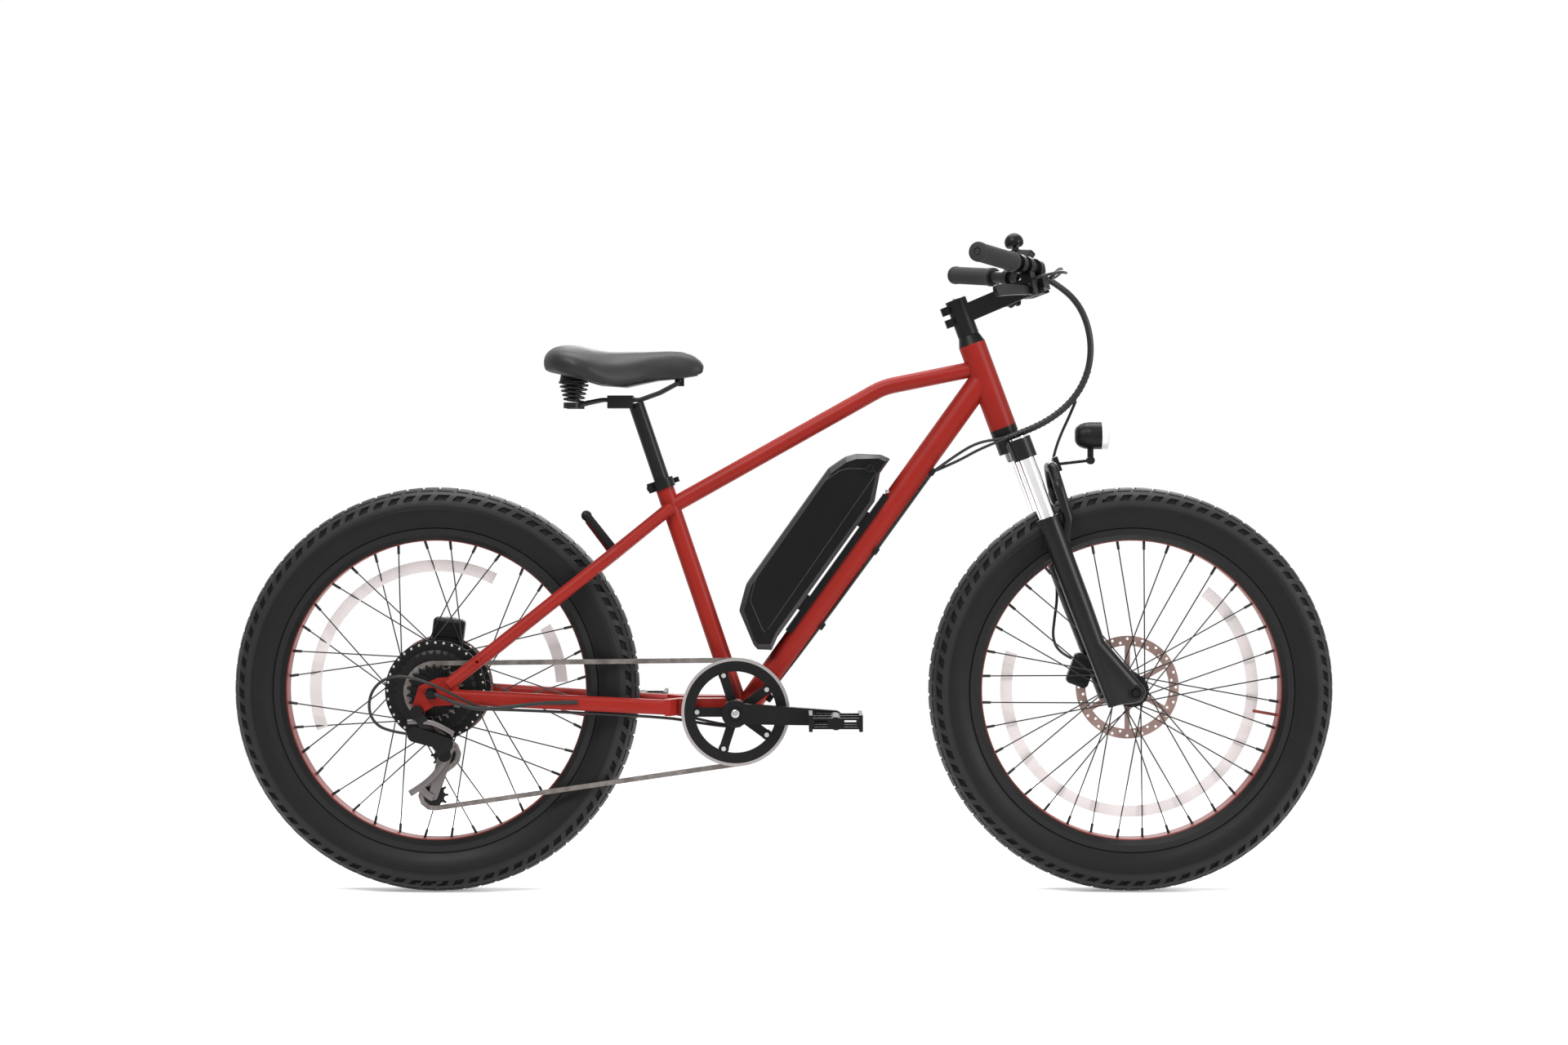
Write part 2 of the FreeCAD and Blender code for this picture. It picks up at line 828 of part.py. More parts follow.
def make_front_hub():
    end = front_dropout_side - fit_gap
    bore = axle_radius + fit_gap
    mount = front_rotor_side - rotor_thickness / 2
    inside = front_flange_side - flange_thickness / 2
    outside = front_flange_side + flange_thickness / 2
    return turned(outline(
        wheel_plane, (-end, bore), (-end, hub_cap_radius), (-outside, hub_cap_radius),
        (-outside, front_flange_radius), (-inside, front_flange_radius), (-inside, front_barrel_radius),
        (inside, front_barrel_radius), (inside, front_flange_radius), (outside, front_flange_radius),
        (outside, rotor_mount_radius), (mount, rotor_mount_radius), (mount, hub_cap_radius),
        (end, hub_cap_radius), (end, bore)))


def make_motor():
    end = rear_dropout_side - fit_gap
    bore = axle_radius + fit_gap
    mount = rear_rotor_side - rotor_thickness / 2
    flange = motor_radius + motor_flange_rise
    right_in = flange_thickness - motor_right_side
    left_in = motor_left_side - flange_thickness
    cover = motor_radius - motor_cover_drop
    return turned(outline(
        wheel_plane, (-end, bore), (-end, freewheel_boss_radius),
        (-motor_right_side - motor_cover_depth, freewheel_boss_radius),
        (-motor_right_side - motor_cover_depth, cover - motor_cover_drop), (-motor_right_side, cover),
        (-motor_right_side, flange), (right_in, flange), (right_in, motor_radius),
        (left_in, motor_radius), (left_in, flange), (motor_left_side, flange), (motor_left_side, cover),
        (motor_left_side + motor_cover_depth, cover - motor_cover_drop),
        (motor_left_side + motor_cover_depth, rotor_mount_radius), (mount, rotor_mount_radius),
        (mount, hub_cap_radius), (end, hub_cap_radius), (end, bore)))


def make_wheels():
    tyre = make_tyre()
    rim = make_rim()
    valve = make_valve()
    front_spokes = make_spokes(front_flange_radius, front_flange_side, front_flange_side, front_cross_angle)
    half_flange = flange_thickness / 2
    rear_spokes = make_spokes(
        motor_radius + motor_flange_rise, motor_right_side - half_flange, motor_left_side - half_flange,
        rear_cross_angle)
    pieces = (
        ("front_tyre", front_center, [tyre]), ("front_rim", front_center, [rim, valve]),
        ("front_spokes", front_center, front_spokes), ("front_hub", front_center, [make_front_hub()]),
        ("front_rotor", front_center, [make_rotor(front_rotor_side, hub_cap_radius + press_gap)]),
        ("rear_tyre", rear_center, [tyre]), ("rear_rim", rear_center, [rim, valve]),
        ("rear_spokes", rear_center, rear_spokes), ("rear_hub_motor", rear_center, [make_motor()]),
        ("rear_rotor", rear_center, [make_rotor(rear_rotor_side, hub_cap_radius + press_gap)]))
    for name, center, shapes in pieces:
        node(name, *[shape.translated(center) for shape in shapes])


# Frame

def stadium_bar(start, end, width, height):
    """A straight bar with round top and bottom edges."""
    along = (end - start).normalize()
    across = Y_DIRECTION - along * along.dot(Y_DIRECTION)
    across.normalize()
    rise = along.cross(across)
    edge = rise * ((height - width) / 2)
    core = block((start + end) / 2, along, across, (end - start).Length, width, height - width)
    return joined(core, rod(start + edge, end + edge, width / 2), rod(start - edge, end - edge, width / 2))


head_core = rod(steer_point(head_foot_rise, 0), steer_point(head_top_rise, 0), head_tube_radius)
shell_half = Y_DIRECTION * (bb_shell_width / 2)
shell_core = rod(bb_center - shell_half, bb_center + shell_half, bb_shell_radius)
seat_core = rod(seat_foot, seat_top, seat_tube_radius)
down_core = rod(down_foot, down_head, down_tube_radius)


def make_front_triangle():
    head = tube(
        steer_point(head_foot_rise, 0), steer_point(head_top_rise, 0),
        head_tube_radius, head_tube_radius - head_tube_wall)
    shell = tube(
        bb_center - shell_half, bb_center + shell_half, bb_shell_radius, bb_shell_radius - bb_shell_wall)
    down = tube(down_foot, down_head, down_tube_radius, down_tube_radius - down_tube_wall)
    seat = tube(seat_foot, seat_top, seat_tube_radius, seat_tube_radius - seat_tube_wall)
    top_head = steer_point(head_foot_rise + top_tube_head_rise, 0)
    top_points = [
        seat_top - seat_up * top_tube_drop,
        top_head - Vector(top_tube_bend_back, 0, top_tube_bend_drop), top_head]
    top = bent_tube(top_points, top_tube_radius, top_tube_radius - top_tube_wall, top_tube_bend_radius)
    node("front_triangle", head, shell, down.cut(shell_core).cut(head_core),
         seat.cut(shell_core).cut(down_core), top.cut(seat_core).cut(head_core).cut(down_core))


dropout_middle = rear_dropout_side + dropout_thickness / 2
seatstay_side = tyre_width / 2 + stay_tyre_gap + seatstay_radius
seatstay_root = seat_top - seat_up * seatstay_drop + Y_DIRECTION * seatstay_root_side
seatstay_bend = seat_top - seat_up * seatstay_drop
seatstay_bend += Vector(-seatstay_bend_back, seatstay_side, -seatstay_bend_drop)
seatstay_end = rear_center + Vector(seatstay_end_ahead, dropout_middle, seatstay_end_rise)
chainstay_side = tyre_width / 2 + stay_tyre_gap + chainstay_width / 2
chainstay_start = bb_center + Vector(-chainstay_front_behind, chainstay_side, chainstay_front_rise)
chainstay_end = rear_center + Vector(chainstay_end_ahead, dropout_middle, -chainstay_end_drop)
bridge_center = seatstay_root + (seatstay_bend - seatstay_root) * bridge_share
bridge_half = bridge_center.y
bridge_center.y = 0


def make_dropout(with_hanger):
    front = [(ahead * dropout_ahead, rise * dropout_height) for ahead, rise in dropout_front_shares]
    back = [(-behind * dropout_behind, rise * dropout_height) for behind, rise in dropout_back_shares]
    steps = front[1:] + back
    if with_hanger:
        steps = steps[:-1] + [
            (-hanger_behind - hanger_eye_radius, -hanger_drop),
            ((-hanger_behind, -hanger_drop - hanger_eye_radius),
             (hanger_eye_radius - hanger_behind, -hanger_drop))]
    plate = side_plate(
        outline(side_plane, front[0], *steps), rear_dropout_side, rear_dropout_side + dropout_thickness)
    through = Y_DIRECTION * (rear_dropout_side + dropout_thickness + overrun)
    plate = plate.cut(rod(Vector(0, 0, 0), through, axle_radius + press_gap))
    if with_hanger:
        eye = Vector(-hanger_behind, 0, -hanger_drop)
        plate = plate.cut(rod(eye, eye + through, hanger_hole_radius))
    return plate.translated(rear_center)


def make_rear_triangle():
    plates = [make_dropout(False), mirrored(make_dropout(True))]
    seatstay = bent_rod([seatstay_root, seatstay_bend, seatstay_end], seatstay_radius, seatstay_bend_radius)
    eyelet_start = seatstay_bend + (seatstay_end - seatstay_bend) * eyelet_share
    eyelet_end = eyelet_start + Y_DIRECTION * (seatstay_radius + eyelet_length)
    hole_start = eyelet_end - Y_DIRECTION * eyelet_length
    seatstay = joined(seatstay, rod(eyelet_start, eyelet_end, eyelet_radius))
    seatstay = seatstay.cut(rod(hole_start, eyelet_end + Y_DIRECTION * overrun, eyelet_hole_radius))
    chainstay = stadium_bar(chainstay_start, chainstay_end, chainstay_width, chainstay_height)
    shell_side = bb_shell_width / 2
    ring_back = -bb_behind - chainstay_front_behind * yoke_turn_share
    front_x = -bb_behind - bb_shell_radius / 2
    back_x = chainstay_start.x - chainstay_width / 2

    def yoke_plane(x, y):
        return Vector(x, y, chainstay_start.z - yoke_height / 2)

    yoke = Part.Face(outline(
        yoke_plane, (front_x, shell_side - yoke_root_width), (front_x, shell_side),
        (ring_back, chain_line - yoke_ring_gap), (chainstay_start.x, chainstay_side + chainstay_width / 2),
        (back_x, chainstay_side + chainstay_width / 2), (back_x, chainstay_side - chainstay_width / 2),
        (ring_back, shell_side - yoke_root_width))).extrude(Z_DIRECTION * yoke_height)
    yoke = yoke.cut(shell_core)
    bridge = rod(
        bridge_center - Y_DIRECTION * bridge_half, bridge_center + Y_DIRECTION * bridge_half, bridge_radius)
    solids = [bridge]
    for side, plate in zip((1, -1), plates):
        stay = seatstay if side > 0 else mirrored(seatstay)
        lower = chainstay if side > 0 else mirrored(chainstay)
        step = yoke if side > 0 else mirrored(yoke)
        solids[0] = solids[0].cut(stay)
        lower = lower.cut(plate)
        solids += [stay.cut(seat_core).cut(plate).cut(lower), lower, step.cut(lower), plate]
    node("rear_triangle", *solids)


def make_bearing_cups():
    bore = steerer_radius + fit_gap
    lower = tube(
        steer_point(fork_length + fit_gap, 0), steer_point(head_foot_rise, 0), head_tube_radius, bore)
    cap_start = steer_point(head_top_rise, 0)
    cap_end = steer_point(head_top_rise + headset_cap_height, 0)
    upper = taper(cap_start, cap_end, head_tube_radius, headset_cap_radius)
    upper = upper.cut(rod(cap_start - steer_up * overrun, cap_end + steer_up * overrun, bore))
    cup_radius = bb_shell_radius - bb_shell_wall - press_gap
    cups = []
    for side in (-1, 1):
        outer = bb_center + Y_DIRECTION * (side * bb_shell_width / 2)
        inner = outer - Y_DIRECTION * (side * bb_shell_radius)
        cups.append(tube(inner, outer, cup_radius, spindle_radius + fit_gap))
    node("bearing_cups", lower, upper, *cups)


def make_rear_axle():
    reach = rear_dropout_side + dropout_thickness + axle_nut_length + axle_end_length
    shaft = rod(rear_center - Y_DIRECTION * reach, rear_center + Y_DIRECTION * reach, axle_radius)
    nuts = []
    for side in (-1, 1):
        face = rear_center + Y_DIRECTION * (side * (rear_dropout_side + dropout_thickness))
        nut = hex_prism(face, Y_DIRECTION * side, axle_nut_flat, axle_nut_length)
        bore = rod(face - Y_DIRECTION * overrun * side, face + Y_DIRECTION * side * reach, axle_radius)
        nuts.append(nut.cut(bore))
    node("rear_axle", shaft, *nuts)


def make_tail_light():
    """A slim round light across the seatstays, clipped to their bridge."""
    run = seatstay_end - seatstay_bend
    run.y = 0
    run.normalize()
    axis = Vector(-run.z, 0, run.x)
    back = bridge_radius + tail_light_gap + tail_light_radius
    foot = bridge_center + run * back
    top = foot - axis * (tail_light_length * tail_light_share)
    body = rod(top, top + axis * tail_light_length, tail_light_radius)
    clip = block(bridge_center + run * (back / 2), run, Y_DIRECTION, back, tail_light_clip_width,
                 2 * bridge_radius)
    bridge = rod(
        bridge_center - Y_DIRECTION * bridge_half, bridge_center + Y_DIRECTION * bridge_half, bridge_radius)
    node("tail_light", joined(body, clip).cut(bridge))


# Seat

post_top = seat_top + seat_up * seatpost_rise
head_center = post_top + Vector(-seatpost_head_back, 0, seatpost_head_rise)
saddle_back = head_center.x - saddle_back_behind
saddle_floor = head_center.z + saddle_rise
rail_points = [
    head_center + Vector(ahead * saddle_length, out * saddle_spring_side, rise * saddle_depth)
    for ahead, rise, out in saddle_rail_shares]
nose_pivot = Vector(rail_points[0].x, 0, rail_points[0].z)
spring_center = rail_points[-1]


def saddle_bottom(x):
    """Height of the saddle's underside at a place along it."""
    share = (x - saddle_back) / saddle_length
    stations = list(zip(saddle_station_shares, saddle_bottom_shares))
    for (start, low), (end, high) in zip(stations, stations[1:]):
        if start <= share <= end:
            return saddle_floor + saddle_depth * (low + (high - low) * (share - start) / (end - start))
    return saddle_floor


def make_seat_collar():
    low = seat_top - seat_up * (collar_height - collar_proud)
    high = seat_top + seat_up * collar_proud
    middle = (low + high) / 2
    ring_radius = seat_tube_radius + collar_wall
    ring = rod(low, high, ring_radius)
    ear_middle = middle - seat_ahead * (ring_radius + collar_ear_length / 2 - collar_wall)
    ears = block(ear_middle, seat_ahead, Y_DIRECTION, collar_ear_length + collar_wall,
                 collar_ear_width + collar_slot, collar_height)
    slot = block(ear_middle, seat_ahead, Y_DIRECTION, 2 * collar_ear_length + 2 * collar_wall, collar_slot,
                 2 * collar_height)
    collar = joined(ring, ears).cut(
        rod(low - seat_up * overrun, high + seat_up * overrun, seat_tube_radius + press_gap))
    collar = collar.cut(slot)
    bolt_middle = middle - seat_ahead * (ring_radius + collar_ear_length / 2)
    ear_half = (collar_ear_width + collar_slot) / 2
    hub_side = ring_radius + clamp_lever_hub_radius / 2
    washer_side = hub_side - clamp_lever_hub_radius - fit_gap
    bolt = rod(bolt_middle - Y_DIRECTION * (ear_half + clamp_bolt_radius),
               bolt_middle + Y_DIRECTION * washer_side,
               clamp_bolt_radius)
    nut = rod(bolt_middle - Y_DIRECTION * (ear_half + 2 * clamp_bolt_radius),
              bolt_middle - Y_DIRECTION * ear_half,
              2 * clamp_bolt_radius)
    washer = rod(bolt_middle + Y_DIRECTION * ear_half, bolt_middle + Y_DIRECTION * washer_side,
                 clamp_lever_hub_radius)
    hole = rod(bolt_middle - Y_DIRECTION * collar_height, bolt_middle + Y_DIRECTION * collar_height,
               clamp_bolt_radius)
    node("seat_collar", collar.cut(hole), joined(bolt, nut, washer))
    pivot = bolt_middle + Y_DIRECTION * hub_side
    rise = seat_up * (clamp_lever_width / 2)
    hub = rod(pivot - rise, pivot + rise, clamp_lever_hub_radius)
    side = Y_DIRECTION * (clamp_lever_hub_radius - clamp_lever_thickness / 2)
    blade = block(pivot + seat_ahead * (clamp_lever_length / 2) + side, seat_ahead, Y_DIRECTION,
                  clamp_lever_length, clamp_lever_thickness, clamp_lever_width)
    node("seat_clamp_lever", joined(hub, blade))
    print("seat lever pivot", pivot)


def make_seatpost():
    foot = seat_top - seat_up * seatpost_insert
    shaft = tube(foot, post_top, seatpost_radius, seatpost_radius - seatpost_wall)
    cap = rod(post_top - seat_up * seatpost_radius, post_top, seatpost_radius)
    head = block(head_center, X_DIRECTION, Y_DIRECTION, seatpost_head_length, seatpost_head_width,
                 seatpost_head_height)
    post = joined(shaft, cap, head)
    for rail in make_rails(press_gap):
        post = post.cut(rail)
    node("seatpost", post)


def make_rails(extra):
    rail = bent_rod(rail_points, saddle_rail_radius + extra, saddle_rail_bend)
    return both_sides(rail)


def make_saddle():
    half = saddle_width / 2
    low_share, bulge_share, high_share, shoulder_share = saddle_side_shares
    cushion_wires = []
    base_wires = []
    under_wires = []
    stations = zip(saddle_station_shares, saddle_width_shares, saddle_top_shares, saddle_bottom_shares,
                   saddle_skirt_shares)
    for along, width, top, bottom, skirt in stations:
        x = saddle_back + saddle_length * along
        wide = half * width
        floor = saddle_floor + saddle_depth * bottom
        low = floor - saddle_depth * skirt
        room = wide * saddle_base_width_share + fit_gap
        seat = floor + saddle_base_depth
        high = saddle_floor + saddle_depth * top
        shoulder = low + (high - low) * shoulder_share

        def cross_plane(y, z, x=x):
            return Vector(x, y, z)

        bulge = low + (high - low) * bulge_share
        cushion_wires.append(outline(
            cross_plane, (-wide * low_share, low), (wide * low_share, low),
            ((wide, bulge), (wide * high_share, shoulder)), ((0, high), (-wide * high_share, shoulder)),
            ((-wide, bulge), (-wide * low_share, low))))
        under_wires.append(outline(
            cross_plane, (-room, floor - half), (room, floor - half), (room, seat + press_gap),
            (-room, seat + press_gap)))
        if 0 < along < 1:
            base = wide * saddle_base_width_share
            base_wires.append(outline(
                cross_plane, (-base, floor), (base, floor), (base, seat), (-base, seat)))
    under = Part.makeLoft(under_wires, True, True)
    node("saddle_cushion", Part.makeLoft(cushion_wires, True, False).cut(under))
    socket_top = saddle_bottom(nose_pivot.x) + saddle_base_depth / 2
    socket_low = nose_pivot.z - saddle_socket_height / 2
    socket = block(
        Vector(nose_pivot.x, 0, (socket_top + socket_low) / 2), X_DIRECTION, Y_DIRECTION,
        saddle_socket_length, rail_points[0].y, socket_top - socket_low)
    pivot_half = Y_DIRECTION * rail_points[0].y
    socket = socket.cut(rod(nose_pivot - pivot_half, nose_pivot + pivot_half, saddle_rail_radius + fit_gap))
    base = Part.makeLoft(base_wires, True, True)
    node("saddle_base", joined(base, socket))
    cross = rod(nose_pivot - pivot_half, nose_pivot + pivot_half, saddle_rail_radius)
    cup_low = spring_center - Z_DIRECTION * saddle_rail_radius
    cup = rod(cup_low, cup_low + Z_DIRECTION * (2 * saddle_rail_radius + spring_cup_height), spring_cup_radius)
    rails = make_rails(0)
    node("saddle_rails", joined(rails[0], cross, rails[1], *both_sides(cup)))
    print("saddle nose pivot", nose_pivot)


def make_spring():
    """A conical coil, each quarter turn two arcs that share their tangents with the next."""
    low = spring_center.z + saddle_rail_radius + spring_cup_height + spring_wire_radius + fit_gap
    high = saddle_bottom(spring_center.x + spring_top_radius) - spring_wire_radius - fit_gap
    quarters = round(4 * spring_turns)
    climb = (high - low) / (2 * math.pi * spring_turns)
    widen = (spring_top_radius - spring_bottom_radius) / (2 * math.pi * spring_turns)

    def point(angle):
        reach = spring_bottom_radius + widen * angle
        return Vector(reach * math.cos(angle), reach * math.sin(angle), low + climb * angle)

    def heading(angle):
        reach = spring_bottom_radius + widen * angle
        slope = Vector(
            widen * math.cos(angle) - reach * math.sin(angle),
            widen * math.sin(angle) + reach * math.cos(angle), climb)
        return slope.normalize()

    edges = []
    for index in range(quarters):
        start_angle = index * math.pi / 2
        end_angle = start_angle + math.pi / 2
        start = point(start_angle)
        end = point(end_angle)
        leave = heading(start_angle)
        arrive = heading(end_angle)
        chord = end - start
        both = leave + arrive
        spread = 2 * (1 - leave.dot(arrive))
        lean = chord.dot(both)
        reach = (math.sqrt(lean ** 2 + spread * chord.dot(chord)) - lean) / spread
        first = start + leave * reach
        second = end - arrive * reach
        middle = (first + second) / 2
        edges += [corner_arc(start, first, middle)[0], corner_arc(middle, second, end)[0]]
    samples = [point(2 * math.pi * index / spring_path_count)
               for index in range(round(spring_turns * spring_path_count))]
    apart = [(a - b).Length for i, a in enumerate(samples) for b in samples[i + spring_path_count // 2:]]
    print("spring least gap", round(min(apart) - 2 * spring_wire_radius, 2))
    coil = swept(Part.Wire(edges), spring_wire_radius)
    coil.translate(Vector(spring_center.x, spring_center.y, 0))
    node("saddle_springs", *both_sides(coil))


# Battery

def battery_plane(shrink, side):
    """Places outline shares on the down tube, drawn in all round by shrink."""
    def place(along, out):
        along = battery_start + battery_length * along
        out = battery_seat + battery_reach * out
        middle_along = battery_start + battery_length / 2
        middle_out = battery_seat + battery_reach / 2
        along = middle_along + (along - middle_along) * (1 - 2 * shrink / battery_length)
        out = middle_out + (out - middle_out) * (1 - 2 * shrink / battery_reach)
        return down_point(along, out, side)
    return place


def battery_wire(shrink, side):
    return outline(battery_plane(shrink, side), *battery_outline_shares)


def make_battery():
    flank = battery_width / 2 - battery_bevel
    core = Part.Face(battery_wire(0, -flank)).extrude(Y_DIRECTION * (2 * flank))
    bevel = Part.makeLoft([battery_wire(0, flank), battery_wire(battery_bevel, battery_width / 2)], True, True)
    hollow = Part.Face(battery_wire(battery_wall, -flank)).extrude(Y_DIRECTION * (2 * flank))
    node("battery_case", joined(core, *both_sides(bevel)).cut(hollow))
    room = Part.Face(battery_wire(battery_wall + cell_gap, -flank)).extrude(Y_DIRECTION * (2 * flank))
    cells = []
    pitch = 2 * cell_radius + cell_gap
    for row in range(cell_rows):
        for column in range(cell_columns):
            along = battery_start + battery_length * cell_along_share + pitch * column
            out = battery_seat + battery_reach * cell_out_share + pitch * row
            start = down_point(along, out, -cell_length / 2)
            cell = rod(start, start + Y_DIRECTION * cell_length, cell_radius)
            if not cell.cut(room).Solids:
                cells.append(cell)
    holder = Part.Face(battery_wire(battery_wall + fit_gap, cell_length / 2))
    holder = holder.extrude(Y_DIRECTION * cell_holder_thickness)
    node("battery_cells", *cells, *both_sides(holder))
    lock_start = battery_plane(0, -battery_width / 2 - fit_gap)(lock_along_share, lock_out_share)
    lock_end = lock_start - Y_DIRECTION * lock_length
    lock = rod(lock_start, lock_end, lock_radius)
    slot = block(lock_end, down_run, Y_DIRECTION, lock_radius, 2 * lock_key_depth, lock_key_width)
    node("battery_lock", lock.cut(slot))
    print("battery lock", lock_start)
    seat = battery_seat + battery_reach * battery_floor_share
    middle = battery_start + battery_length / 2
    low = down_tube_radius / 2
    cleat_high = seat - fit_gap
    base_high = down_tube_radius + battery_rail_wall
    rail_length = battery_length - 2 * battery_rail_inset
    cleat_spread = battery_length / 2 - battery_cleat_inset - battery_cleat_length / 2
    base = block(down_point(middle, (low + base_high) / 2), down_run, Y_DIRECTION, rail_length,
                 battery_rail_width, base_high - low)
    rail = [base]
    for share in (-1, 1):
        along = middle + share * cleat_spread
        rail.append(block(down_point(along, (low + cleat_high) / 2), down_run, Y_DIRECTION,
                          battery_cleat_length,
                          battery_rail_width, cleat_high - low))
    node("battery_rail", joined(*rail).cut(down_core))

# Fork

crown_high = fork_length - crown_drop
crown_low = crown_high - crown_clamp_height


def leg_core(extra):
    return stepped_rod(steer_point(-leg_foot, stanchion_ahead, leg_side), steer_up, (
        (0, leg_foot_radius + extra), (leg_taper_rise, leg_radius + extra),
        (leg_top + leg_foot, leg_radius + extra)))


def arch_points():
    half = []
    for rise, ahead, side in (
            (-arch_root_drop, arch_root_ahead, leg_side),
            (-arch_shoulder_drop, arch_shoulder_ahead, leg_side),
            (arch_rise * arch_knee_share, arch_knee_ahead, leg_side * arch_knee_side_share),
            (arch_rise, arch_ahead, arch_top_half)):
        half.append((leg_top + rise, stanchion_ahead + ahead, side))
    points = [steer_point(*place) for place in half]
    return points + [steer_point(rise, ahead, -side) for rise, ahead, side in reversed(half)]


def make_fork_upper():
    clamp = rod(steer_point(crown_low, stanchion_ahead, leg_side),
                steer_point(crown_high, stanchion_ahead, leg_side),
                crown_clamp_radius)
    height = crown_clamp_height * crown_bridge_share
    middle = (crown_low + crown_high) / 2
    bridge = block(steer_point(middle, stanchion_ahead / 2), steer_ahead, Y_DIRECTION, crown_depth,
                   2 * leg_side, height)
    boss = rod(steer_point(middle, 0), steer_point(fork_length, 0), crown_boss_radius)
    steerer = rod(steer_point(middle, 0), steer_point(steerer_end, 0), steerer_radius)
    crown = joined(boss, bridge, clamp, mirrored(clamp), steerer)
    bore = rod(
        steer_point(crown_low - overrun, stanchion_ahead, leg_side),
        steer_point(crown_high + overrun, stanchion_ahead, leg_side), stanchion_radius + press_gap)
    steerer_bore = rod(
        steer_point(crown_low - overrun, 0), steer_point(steerer_end + overrun, 0),
        steerer_radius - steerer_wall)
    node("fork_crown", crown.cut(bore).cut(mirrored(bore)).cut(steerer_bore))
    top = steer_point(crown_high, stanchion_ahead, leg_side)
    stanchion = tube(steer_point(stanchion_foot, stanchion_ahead, leg_side), top,
                     stanchion_radius, stanchion_radius - stanchion_wall)
    cap = rod(top, top + steer_up * crown_cap_height, stanchion_radius)
    node("fork_stanchions", *both_sides(joined(stanchion, cap)))


def make_fork_lowers():
    bore = rod(
        steer_point(leg_bore_foot, stanchion_ahead, leg_side),
        steer_point(leg_top + overrun, stanchion_ahead, leg_side),
        stanchion_radius + leg_bore_gap)

    def lug_plane(ahead, rise):
        return steer_point(rise, ahead, front_dropout_side)

    back = stanchion_ahead - leg_radius / 2
    front = stanchion_ahead + leg_radius / 2
    lug = Part.Face(outline(
        lug_plane, (back, -leg_foot), (fork_rake, -lug_radius),
        ((fork_rake + lug_radius, 0), (fork_rake, lug_radius)), (front, lug_rise), (back, lug_rise)))
    lug = lug.extrude(Y_DIRECTION * lug_thickness)
    arch = bent_rod(arch_points(), arch_radius, arch_bend_radius)
    lowers = joined(leg_core(0), mirrored(leg_core(0)), lug, mirrored(lug), arch)
    lowers = lowers.cut(bore).cut(mirrored(bore))
    reach = Y_DIRECTION * (front_dropout_side + lug_thickness + overrun)
    node("fork_lowers", lowers.cut(rod(front_center - reach, front_center + reach, axle_radius + press_gap)))
    seal_low = steer_point(leg_top, stanchion_ahead, leg_side)
    seal = tube(seal_low, seal_low + steer_up * seal_height, seal_radius, stanchion_radius + fit_gap)
    node("fork_seals", *both_sides(seal))
    rod_foot = steer_point(leg_bore_foot, stanchion_ahead, leg_side)
    piston_low = damper_rod_length - damper_piston_height
    piston_radius = stanchion_radius - stanchion_wall - fit_gap
    damper = stepped_rod(rod_foot, steer_up, (
        (0, damper_rod_radius), (piston_low, damper_rod_radius), (piston_low, piston_radius),
        (damper_rod_length, piston_radius)))
    node("fork_dampers", *both_sides(damper))
    face = front_dropout_side + lug_thickness
    shaft_half = Y_DIRECTION * (face + axle_nut_length + axle_end_length / 2)
    nut_start = front_center + Y_DIRECTION * face
    nut = hex_prism(nut_start, Y_DIRECTION, axle_nut_flat, axle_nut_length)
    nut = nut.cut(rod(front_center, front_center + shaft_half, axle_radius))
    opposite = hex_prism(front_center - Y_DIRECTION * face, -Y_DIRECTION, axle_nut_flat, axle_nut_length)
    opposite = opposite.cut(rod(front_center - shaft_half, front_center, axle_radius))
    node("front_axle", rod(front_center - shaft_half, front_center + shaft_half, axle_radius), nut, opposite)


# Stem, handlebar and controls

bar_center = steer_point(stem_bar_rise, stem_reach)
bar_knee = bar_center + Vector(bar_knee_ahead, bar_knee_half, bar_knee_rise)
bar_end = bar_center + Vector(-bar_end_back, bar_half_width, bar_end_rise)
bar_inward = (bar_knee - bar_end).normalize()
control_down = Vector(brake_forward_share, 0, -1)
control_down = (control_down - bar_inward * control_down.dot(bar_inward)).normalize()
control_back = control_down.cross(bar_inward)


def bar_place(place, drop=0.0, back=0.0):
    """A place on the left half of the bar, by distance from its end, below it and behind it."""
    return bar_end + bar_inward * place + control_down * drop + control_back * back


